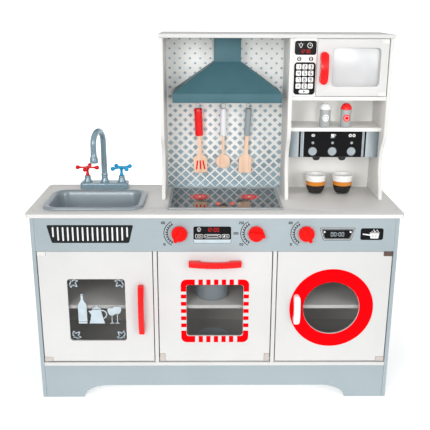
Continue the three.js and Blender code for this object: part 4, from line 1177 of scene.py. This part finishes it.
def ring_sign(drawing):
    """A glowing ring: a red disc with rose rings, a dashed ring and two outer arcs."""
    drawing.ring(0, 0, 23.4, 24.8, INK_RED)
    for i in range(12):
        drawing.ring(0, 0, 20.0, 21.6, INK_ROSE, 1, 30 * i + 4, 30 * i + 26, 6)
    drawing.disc(0, 0, 17.5, INK_RED, segments=48)
    drawing.ring(0, 0, 12.2, 13.6, INK_ROSE, 2)
    drawing.ring(0, 0, 6.6, 9.8, INK_ROSE, 2)
    drawing.disc(0, 0, 3.4, INK_WHITE, 2)
    for start in (10, 190):
        drawing.ring(0, 0, 34.4, 35.2, INK_GREY, 1, start, start + 160, 30)


# Hood and utensils --------------------------------------------------------------------------------
def hood():
    """Folded tin: the canopy and chimney with eased folds, a lip, a seam and pop rivets."""
    box = Box("hood")
    piece = Piece("hood_folded_tin").add(cad_mesh("hood", 0.9, 3, 12), TIN)
    piece.done("cabinet", "teal_metal", "hood", sharp=50)
    trim = Piece("hood_seams_and_rivets")
    chimney_left, chimney_width, chimney_front = box.x - 31.55, 66, box.front + 70
    band_height, canopy_height = 19.2, 91
    for left, front, bottom, width, height, thick, ease in (
            (chimney_left - 0.6, chimney_front + 0.2, canopy_height, chimney_width + 1.2, 2.2, 1.0, 0.3),
            (box.left + 0.5, box.front + 0.1, band_height, box.width - 1, 1.8, 0.5, 0.2)):
        strip = slab([[(0, 0), (width, 0), (width, height), (0, height)]], thick, ease)
        trim.add(strip, TIN, facing((left, front, box.bottom + bottom)))
    rivet = [(1.9, 0), (1.7, 0.35), (0.9, 0.6), (0, 0.65)]
    for x in (box.left + 5, box.right - 5):
        for height in (5, 14):
            trim.add(lathe(rivet, 20), TIN, facing((x, box.front, box.bottom + height)))
    trim.done("cabinet", "teal_metal")


def hooks():
    """The hook strip under the hood and three bent hooks."""
    strip = HOOK_STRIP
    piece = Piece("hook_strip_and_hooks")
    board_depth, tip = 4.6, HOOK_Y - 4.2
    board = slab([rounded(strip.width, strip.height, 4)], board_depth, 0.8)
    piece.add(board, HINGE_WHITE, facing((strip.x, strip.back, strip.z)))
    for x in HOOK_PLACES:
        path = [(x, strip.back - 4, HOOK_Z), (x, HOOK_Y, HOOK_Z), (x, HOOK_Y - 2, HOOK_Z + 0.6),
                (x, HOOK_Y - 4, HOOK_Z + 2.4), (x, tip, HOOK_Z + 4.8)]
        piece.add(tube(eased(path, 2), 1.7, 14), STEEL)
        piece.add(ball(2.0, (x, tip, HOOK_Z + 4.8)), STEEL)
        for height in (-6.5, 4.5):
            screw_face(piece, x, strip.back - board_depth, HOOK_Z + height, 1.7)
    piece.done("cabinet", "white_plastic", "hook_strip", sharp=40)


def leaning_slot(side, width, length, corner):
    """One of the turner's three slots, or its liner; the outer two lean out at the foot."""
    lean, apart, middle = math.radians(-side * 10), 8.8, -165.5
    return [(side * apart + a * math.cos(lean) + b * math.sin(lean),
             middle - a * math.sin(lean) + b * math.cos(lean))
            for a, b in rounded(width, length, corner, steps=5)]


def blade(kind, stem):
    """The flat blade that hangs down from the grip, by its outline and its slots."""
    top, neck = -87, -139
    if kind == "disc":
        outline = [(-stem / 2, top), (stem / 2, top), (stem / 2, neck)]
        outline += arc(18, 76, -256, 44, 0, -156) + [(-stem / 2, neck)]
        return [outline[::-1]]
    foot, shoulder = -186, -145
    half = 17.3 if kind == "slots" else 16.5
    right = [(half - 3, foot), (half - 1, foot + 0.8), (half, foot + 3), (half, shoulder - 3),
             (half - 2.5, shoulder + 1), (stem / 2 + 1.6, neck), (stem / 2, neck + 5), (stem / 2, top)]
    loops = [[(-x, z) for x, z in right[::-1]] + right]
    if kind == "slots":
        loops += [leaning_slot(side, 3.6, 24.4, 1.5) for side in (-1, 0, 1)]
    return loops


def strap_loop():
    """The clear strap: a bow over the hook and a flatter one through the grip."""
    half_width, steps = 5.2, 12
    loop = []
    for start, middle, rise in ((0, -2.6, 5.3), (180, -15, 4.6)):
        for i in range(steps + 1):
            x, z = polar(half_width, start + 180 * i / steps, 0, middle, rise / half_width)
            loop.append((x, 0, z))
    return loop


def utensils():
    """A slotted turner, a spoon and a spatula: lacquered grips, beech blades and clear straps."""
    strap = strap_loop()
    for node, x, tilt, colour, grip_radius, stem, kind in (
            ("slotted_turner", HOOK_PLACES[0], 2.2, RED_TURNED, 10.2, 10.5, "slots"),
            ("spoon", HOOK_PLACES[1], 0, WHITE_TURNED, 8, 7, "disc"),
            ("spatula", HOOK_PLACES[2], -2.6, GREY_TURNED, 7.8, 10, "paddle")):
        piece = Piece(f"{node}_utensil")
        at = shift(x, HOOK_Y, HOOK_Z) @ spin(-tilt, "Y")
        piece.add(tube(strap, 0.85, 10, closed=True), CLEAR, at)
        grip = [(0, -88.4), (grip_radius - 1.6, -88.4), (grip_radius - 0.4, -87.6), (grip_radius, -86),
                (grip_radius, -30), (grip_radius, -20.4), (grip_radius - 0.5, -19),
                (grip_radius - 1.6, -18.1), (2.4, -18), (0, -18)]
        piece.add(lathe(grip, 48), colour, at)
        face = at @ facing((0, 2, 0))
        piece.add(slab(blade(kind, stem), 4, 0.7, 3), BEECH, face)
        if kind == "slots":
            for side in (-1, 0, 1):
                piece.add(slab([leaning_slot(side, 3.4, 24.2, 1.4)], 3.2), INK_RED, face @ shift(0, 0, 0.4))
        if kind == "disc":
            hollow = lathe([(0, 4.25), (6, 4.2), (11.5, 4.1), (14.5, 4.02)], 40)
            piece.add(hollow, BEECH, face @ shift(0, -156, 0))
        piece.done(node, "bare_wood", node, sharp=40)


# Tower --------------------------------------------------------------------------------------------
def microwave_panel():
    """The microwave's display, its two round keys and its keypad, printed on the narrow panel."""
    board = Box("keypad_panel")
    piece = Piece("microwave_keypad_print")
    middle = board.left + 27
    drawing = Print(piece, facing((middle, board.front, board.bottom)))
    up = board.height
    display = up - 21.4
    drawing.plate(-0.2, display, 50.6, 32, 5.5, INK_BLACK, 3)
    bulb_x, clock_x, icons = -11.5, 9.5, display + 5.4
    drawing.ring(bulb_x, icons + 0.8, 2.9, 4.0, INK_WHITE, 4, -60, 240, 24)
    drawing.bar(bulb_x - 1.8, icons - 3.0, bulb_x + 1.8, icons - 3.0, 1.0, INK_WHITE, 4)
    drawing.bar(bulb_x - 1.4, icons - 4.8, bulb_x + 1.4, icons - 4.8, 1.0, INK_WHITE, 4)
    for lean in (25, 90, 155):
        drawing.bar(*polar(5.2, lean, bulb_x, icons + 0.8), *polar(7, lean, bulb_x, icons + 0.8), 0.8,
                    INK_WHITE, 4)
    drawing.ring(clock_x, icons, 5.0, 6.2, INK_WHITE, 4)
    drawing.bar(clock_x, icons, clock_x, icons + 3.8, 1.0, INK_WHITE, 4)
    drawing.bar(clock_x, icons, clock_x + 3.0, icons, 1.0, INK_WHITE, 4)
    drawing.figures("12:30", -1, display - 7.8, 7.0, INK_GLOW, 4, 0.15)
    for x in (-14.2, 13.4):
        drawing.disc(x, up - 46.5, 5.2, INK_BLACK)
        drawing.plate(x, up - 46.5, 4.4, 7.0, 2.1, INK_WHITE, 2)
        drawing.bar(x, up - 48.4, x, up - 44.6, 1.5, INK_BLACK, 3)
    keys = up - 91.6
    drawing.plate(-0.2, keys, 50.4, 75, 7.5, INK_BLACK, 3)
    labels = ("1", "2", "3", "4", "5", "6", "7", "8", "9", "", "0", "")
    for i, label in enumerate(labels):
        x, y = -14.5 + 14.3 * (i % 3), keys + 27.2 - 14.9 * (i // 3)
        drawing.plate(x, y, 12, 11.8, 2, INK_WHITE, 4)
        if label:
            drawing.figures(label, x, y, 7.2, INK_BLACK, 5, 0.2)
        else:
            drawing.bar(x - 3.4, y, x + 3.4, y, 1.3, INK_SOFT, 5)
        if i == 9:
            drawing.bar(x, y - 3.4, x, y + 3.4, 1.3, INK_SOFT, 5)
    drawing.plate(-0.2, keys - 30.2, 25, 8.4, 4.1, INK_WHITE, 4)
    drawing.shape([(-2.4, keys - 33), (-2.4, keys - 27.4), (3.2, keys - 30.2)], INK_SOFT, 5)
    piece.done("cabinet", "painted_white")


def coffee_machine():
    """The coffee machine's printed front, its three dials and the two spouts below it."""
    board = Box("coffee_panel")
    front, bottom, thick = board.front + 3, board.bottom + 8, 9
    height = board.top - bottom
    finish = coffee_front(board, board.left + 38, board.left + 183)
    piece = Piece("coffee_machine_front")
    plate = slab([[(0, 0), (board.width, 0), (board.width, height), (0, height)]], thick, 0.6)
    piece.add(plate, finish, facing((board.left, front + thick, bottom)))
    drawing = Print(piece, facing((board.left, front, bottom)))
    for x, width, colour in ((28.0, 4.4, INK_BLACK), (33.4, 5.6, INK_SILVER), (110.5, 145, INK_BLACK),
                             (186, 5.2, INK_SILVER), (190.6, 4.2, INK_BLACK)):
        drawing.plate(x, height / 2, width, height - 0.4, 0.3, colour)
    places = (61, 110, 157.5)
    for x in places:
        drawing.disc(x, height - 53, 10.6, INK_SILVER, 2, segments=48)
        drawing.disc(x, height - 53, 8.9, INK_DIAL, 3, segments=48)
        drawing.disc(x, height - 31.5, 3.3, INK_DIAL, 2)
    coffee_signs(drawing, places, height - 13)
    tongue = [(-9.2, 2), (-9.2, -0.5), (-8, -4.8), (-5, -7.4), (0, -8), (5, -7.4), (8, -4.8), (9.2, -0.5),
              (9.2, 2)]
    for x in SPOUT_PLACES:
        piece.add(slab([tongue], 8.6, 1.2), SPOUT_BLACK, facing((x, front + 6.0, bottom)))
    piece.done("cabinet", "grey_plastic", "coffee_panel")


def coffee_signs(drawing, places, y):
    """A bean, a cup and a pair of rings, one over each dial."""
    bean, cup, pair = places
    drawing.disc(bean, y, 4.6, INK_WHITE, 2, squash=0.72)
    drawing.bar(bean - 3.4, y - 0.4, bean + 3.4, y + 0.4, 0.8, INK_BLACK, 3)
    sides = [(-5, 3.6), (4, 3.6), (3.2, -3.2), (2, -4), (-3, -4), (-4.2, -3.2)]
    drawing.shape([(cup + a, y + b) for a, b in sides], INK_WHITE, 2)
    drawing.ring(cup + 4.6, y + 0.6, 1.5, 2.7, INK_WHITE, 2, -90, 90, 12)
    drawing.bar(cup - 5.5, y - 5.6, cup + 4.5, y - 5.6, 0.9, INK_WHITE, 2)
    for side in (-1, 1):
        drawing.ring(pair + side * 4.6, y, 1.5, 4.0, INK_WHITE, 2)


def shakers():
    """Two shakers with domed lids, pouring holes painted as dark grey discs (painted shade) and a round
    badge.
    """
    radius = 13.45
    body = [(0, 0), (12.2, 0), (13.1, 0.5), (radius, 1.6), (radius, 41.4), (13.1, 42.5), (12.6, 42.9),
            (0, 42.9)]
    dome = [(12.7, 42.6), (13.3, 43.2), (radius, 44.4), (13.2, 46.6), (12.3, 49.6), (10.6, 52.8),
            (8.2, 55.4), (5.2, 57.2), (2.4, 57.9), (0, 58)]
    for node, lid, badge, mark in (("salt_shaker", WHITE_TURNED, INK_WHITE, INK_GREY),
                                   ("pepper_shaker", RED_TURNED, INK_RED, INK_WHITE)):
        box = Box(node)
        piece = Piece(f"{node}_turned")
        at = shift(box.x, box.y, box.bottom)
        piece.add(lathe(body, 56), SHAKER_GREY, at)
        piece.add(lathe(dome, 56), lid, at)
        # The pouring holes are painted shade: dark grey discs on the lid, no holes cut.
        for i in range(6):
            hole = lathe([(1.0, -0.4), (1.0, 0.1), (0, 0.12)], 14)
            piece.add(hole, INK_SOFT, at @ spin(60 * i) @ shift(5.4, 0, 57.15) @ spin(22, "Y"))
        for finish, size, lift in ((badge, 8.6, 0.12), (mark, 5.6, 0.24), (badge, 4.4, 0.34)):
            piece.add(wrapped_disc(box.x, box.y, box.bottom + 23, radius + lift, size), finish)
        piece.done(node, "painted_grey", node, sharp=40)


def wrapped_disc(x, y, z, cylinder, radius):
    """A round badge bent round the front of a cylinder."""
    bm = bmesh.new()
    rows, sectors, steps = [], 36, 5
    for ring in range(steps + 1):
        row = []
        for across, up in circle(radius * ring / steps, segments=sectors if ring else 1):
            swing = across / cylinder
            point = Vector((x + cylinder * math.sin(swing), y - cylinder * math.cos(swing), z + up))
            row.append(bm.verts.new(point * MM))
        rows.append(row)
    for i in range(sectors):
        j = (i + 1) % sectors
        bm.faces.new((rows[0][0], rows[1][i], rows[1][j]))
        for low, high in zip(rows[1:], rows[2:]):
            bm.faces.new((low[i], high[i], high[j], low[j]))
    return mesh_from(bm)


def cups():
    """Two cups: white above, a caramel and a black band below, inside a thin clear shell."""
    for node in ("cup_left", "cup_right"):
        box = Box(node)
        piece = Piece(f"{node}_turned")
        at = shift(box.x, box.y, box.bottom)
        bands = ((CUP_BLACK, [(0, 1.2), (14.2, 1.2), (16.6, 2.2), (19.0, 5.6), (20.9, 9.6), (22.6, 15.0),
                              (23.6, 19.5), (23.95, 23.0)]),
                 (CUP_CARAMEL, [(23.95, 23.0), (24.5, 28), (24.8, 33.6)]),
                 (CUP_WHITE, [(24.8, 33.6), (25.2, 40), (25.5, 46.6), (25.3, 48.2), (24.7, 48.9),
                              (24.1, 48.8), (23.5, 47.6), (23.2, 42), (22.6, 26), (21.2, 15), (19, 8),
                              (15, 4.6), (0, 4.2)]))
        for finish, profile in bands:
            piece.add(lathe(profile, 72), finish, at)
        shell = [(0, 0), (15.2, 0), (17.2, 0.6), (19.2, 3.0), (21.7, 8.6), (24.6, 20.2), (25.4, 30),
                 (25.9, 46), (25.7, 48.2), (25.2, 48.6)]
        piece.add(lathe(shell, 72), SHELL, at)
        piece.done(node, "bare_wood", node, sharp=40)


# Pans in the oven ---------------------------------------------------------------------------------
def pans():
    """The saucepan on the oven's shelf and the casserole that stands below it."""
    box = Box("saucepan")
    piece = Piece("saucepan_turned")
    x, y = box.left + 41, box.y
    wall = [(0, 0), (36, 0), (39, 1), (40.6, 3.4), (40.9, 8), (40.9, 42), (41, 44.4), (40.6, 45.8),
            (39.6, 45.9), (38.8, 45), (38.4, 42), (38.4, 6), (37, 3.4), (34, 2.6), (0, 2.5)]
    at = shift(x, y, box.bottom)
    piece.add(lathe(wall, 72), POT_GREY, at)
    for height in (12, 34):
        bead = [(40.9, height - 0.8), (41.0, height), (40.9, height + 0.8)]
        piece.add(lathe(bead, 72), POT_GREY, at)
    grip = [(4.4, 38), (4.8, 42), (5.4, 60), (6, 84), (6, 106), (5.4, 114), (3.8, 118), (0, 119)]
    piece.add(lathe(grip, 32), RED_TURNED,
              at @ shift(0, 0, 34) @ spin(90, "Y"))
    piece.done("saucepan", "painted_grey", "saucepan", sharp=40)

    base = Box("base_panel")
    pot = Piece("casserole_turned")
    at = shift(Box("oven_window").x - 2, y, base.top)
    wall = [(0, 0), (41, 0), (44, 1), (45.6, 3.6), (46, 8), (46, 33), (46.4, 34.4), (46, 36), (44.8, 36.4),
            (43.8, 35.4), (43.4, 32), (43.4, 7), (42, 3.8), (38, 3), (0, 3)]
    pot.add(lathe(wall, 72), POT_GREY, at)
    for side in (-1, 1):
        path = [(side * reach, y, 24)
                for reach, y in ((44, -13), (53, -12), (57, -5), (57, 5), (53, 12), (44, 13))]
        pot.add(tube(eased(path, 5, 5), 3.6, 16), RED_TURNED, at)
    pot.done("cabinet", "painted_grey")


# Small fittings -----------------------------------------------------------------------------------
def bolts():
    """Barrel bolts in the outer faces of the side panels and the tower."""
    piece = Piece("side_panel_bolts")
    head = [(4.2, -0.5), (4.2, 0.15), (3.6, 0.5), (2.2, 0.5), (1.9, -0.3), (0, -0.3)]
    shelf, floor = Box("spice_shelf").z, Box("microwave_floor").z
    places = []
    for side, node in ((-1, "left_side_panel"), (1, "right_side_panel")):
        board = Box(node)
        places += [(side, board, y, z) for y in (board.front + 24, board.back - 30)
                   for z in (47, 242.5, 433)]
    for side, node, heights in ((-1, "bay_side_panel", (shelf, floor)),
                                (1, "upper_right_panel", (shelf, floor, 560))):
        board = Box(node)
        places += [(side, board, board.back - 40, z) for z in heights]
    for side, board, y, z in places:
        x = board.left if side < 0 else board.right
        piece.add(lathe(head, 28), STEEL, facing((x, y, z), (0, side, 0)))
    piece.done("cabinet", "painted_grey")


def back_panel_pins():
    """A row of pins along each edge of the two back panels."""
    piece = Piece("back_panel_pins")
    pin = [(2.2, -0.3), (2.2, 0.2), (1.4, 0.5), (0, 0.55)]
    for node, across in (("lower_back_panel", 9), ("upper_back_panel", 6)):
        panel = Box(node)
        left, width = panel.left + 12, panel.width - 24
        places = [(left + width * i / (across - 1), panel.bottom + 8 + (panel.height - 16) * k)
                  for i in range(across) for k in range(2)]
        places += [(x, panel.bottom + panel.height * i / 5)
                   for i in range(1, 5) for x in (left, left + width)]
        for x, z in places:
            piece.add(lathe(pin, 16), STEEL, facing((x, panel.back, z), (-1, 0, 0)))
    piece.done("cabinet", "painted_white")


def pin_holes():
    """Four shelf-pin holes low in the uprights, painted as dark grey discs: painted shade, not cut holes."""
    piece = Piece("upright_pin_holes_painted_shade")
    right, left = Box("upper_right_panel"), Box("bay_side_panel")
    for x, way, panel in ((right.left, -1, right), (left.right, 1, left)):
        for from_back, z in ((21, 495), (112, 496)):
            # Painted shade: a dark grey disc stands where each hole's shade would be.
            hole = lathe([(2.2, 0.0), (1.9, 0.12), (0, 0.13)], 20)
            piece.add(hole, INK_SOFT, facing((x, panel.back - from_back, z), (0, way, 0)))
    piece.done("cabinet", "painted_white")


def door_magnets():
    """The magnets that hold the lower doors: two on the base and one behind the fascia."""
    piece = Piece("door_magnets")
    base, fascia = Box("base_panel"), Box("control_fascia")
    y = base.front + 15
    parts = []
    for x in (-178, 175):
        parts += [(11, 9, 1.4, 2.2, 0.5, HINGE_BROWN, (x, y, base.top)),
                  (8, 6, 0.8, 0.5, 0.0, MAGNET, (x, y, base.top + 2.2))]
    y = fascia.back + 8
    parts += [(34, 12, 1.6, 9, 0.8, HINGE_WHITE, (0, y, fascia.bottom + 1)),
              (20, 6, 0.8, 1.0, 0.0, MAGNET, (0, y, fascia.bottom + 0.2))]
    for width, depth, corner, thick, ease, finish, place in parts:
        piece.add(slab([rounded(width, depth, corner)], thick, ease), finish, shift(*place))
    piece.done("cabinet", "white_plastic")


def worktop_screw_caps():
    """Flat plastic caps over the worktop's screws."""
    piece = Piece("worktop_screw_caps")
    top = Box("worktop")
    cap = [(3.2, -0.2), (3.2, 0.1), (2.8, 0.3), (0, 0.34)]
    for left, front in ((12, 237.6), (15, 30), (294.5, 221), (297.5, 27), (869, 42), (869, 237.6)):
        piece.add(lathe(cap, 28), CAP_GREY, shift(top.left + left, top.front + front, top.top))
    piece.done("cabinet", "painted_white")


# Room, light and camera ---------------------------------------------------------------------------
def room():
    """A plain pale floor and a soft, bright studio."""
    radius, thick, gap = 40000, 10, 0.4
    floor_mesh = slab([circle(radius, segments=96)], thick)
    floor = bpy.data.objects.new("studio_floor", floor_mesh)
    floor.location = (0, 0, -(thick + gap) * MM)
    floor_mesh.materials.append(FLOOR.material)
    bpy.context.scene.collection.objects.link(floor)

    world = bpy.data.worlds.new("studio")
    bpy.context.scene.world = world
    world.use_nodes = True
    sky = world.node_tree
    sky.nodes["Background"].inputs["Color"].default_value = (1, 1, 1, 1)
    place = sky.nodes.new("ShaderNodeTexCoord")
    parts = sky.nodes.new("ShaderNodeSeparateXYZ")
    sky.links.new(place.outputs["Generated"], parts.inputs[0])

    def ramp(axis, low, high, start, end):
        node = sky.nodes.new("ShaderNodeMapRange")
        node.interpolation_type = "SMOOTHSTEP"
        for socket, value in (("From Min", low), ("From Max", high), ("To Min", start), ("To Max", end)):
            node.inputs[socket].default_value = value
        sky.links.new(parts.outputs[axis], node.inputs["Value"])
        return node.outputs["Result"]

    def combined(operation, first, second):
        node = sky.nodes.new("ShaderNodeMath")
        node.operation = operation
        sky.links.new(first, node.inputs[0])
        sky.links.new(second, node.inputs[1])
        return node.outputs[0]

    behind = combined("MULTIPLY", ramp("Y", 0.2, 0.6, 0, SKY_BACK), ramp("Z", 0.35, 0.7, 1, 0))
    above = combined("MULTIPLY", ramp("Z", 0.0, 0.5, 0, SKY_TOP), ramp("Y", 0.0, 0.6, 1, 0))
    around = combined("ADD", combined("ADD", behind, above), ramp("Y", 0.0, 0.6, SKY_FRONT, 0))
    sky.links.new(around, sky.nodes["Background"].inputs["Strength"])

    for name, place, aim, width, power in LAMPS:
        light(name, "AREA", place, aim, power, shape="DISK", size=width)
    light("tower_light", "SPOT", ACCENT["place"], ACCENT["aim"], ACCENT["power"],
          spot_size=math.radians(ACCENT["cone"]), spot_blend=0.6, shadow_soft_size=0.15)


def light(name, kind, place, aim, power, **settings):
    lamp = bpy.data.lights.new(name, kind)
    lamp.energy = power
    for setting, value in settings.items():
        setattr(lamp, setting, value)
    holder = bpy.data.objects.new(name, lamp)
    holder.location = place
    holder.rotation_euler = (Vector(aim) - Vector(place)).to_track_quat("-Z", "Y").to_euler()
    bpy.context.scene.collection.objects.link(holder)


def camera():
    """A viewer's eye before the kitchen, above its middle, looking slightly down."""
    pitch, yaw, roll = math.radians(17.14), math.radians(0.635), math.radians(-0.223)
    ahead = Vector((math.sin(yaw) * math.cos(pitch), math.cos(yaw) * math.cos(pitch), -math.sin(pitch)))
    right = Vector((math.cos(yaw), -math.sin(yaw), 0))
    down = ahead.cross(right)
    tilted_right = right * math.cos(roll) + down * math.sin(roll)
    tilted_down = down * math.cos(roll) - right * math.sin(roll)
    matrix = Matrix((tilted_right, -tilted_down, -ahead)).transposed().to_4x4()
    matrix.translation = Vector((-0.01716, -1.62176, 0.94314))
    data = bpy.data.cameras.new("eye")
    data.sensor_width = 36
    data.lens = 56.75
    data.clip_end = 200
    eye = bpy.data.objects.new("eye", data)
    eye.matrix_world = matrix
    bpy.context.scene.collection.objects.link(eye)
    bpy.context.scene.camera = eye
    bpy.context.scene.view_settings.view_transform = "Standard"


boards()
splashback()
doors()
microwave_hinge_plates()
windows()
cupboard_print()
handles()
washer_ring()
oven_stripes()
knobs()
fascia_prints()
sink()
tap()
hob()
hood()
hooks()
utensils()
microwave_panel()
coffee_machine()
shakers()
cups()
pans()
bolts()
back_panel_pins()
pin_holes()
door_magnets()
worktop_screw_caps()
room()
camera()
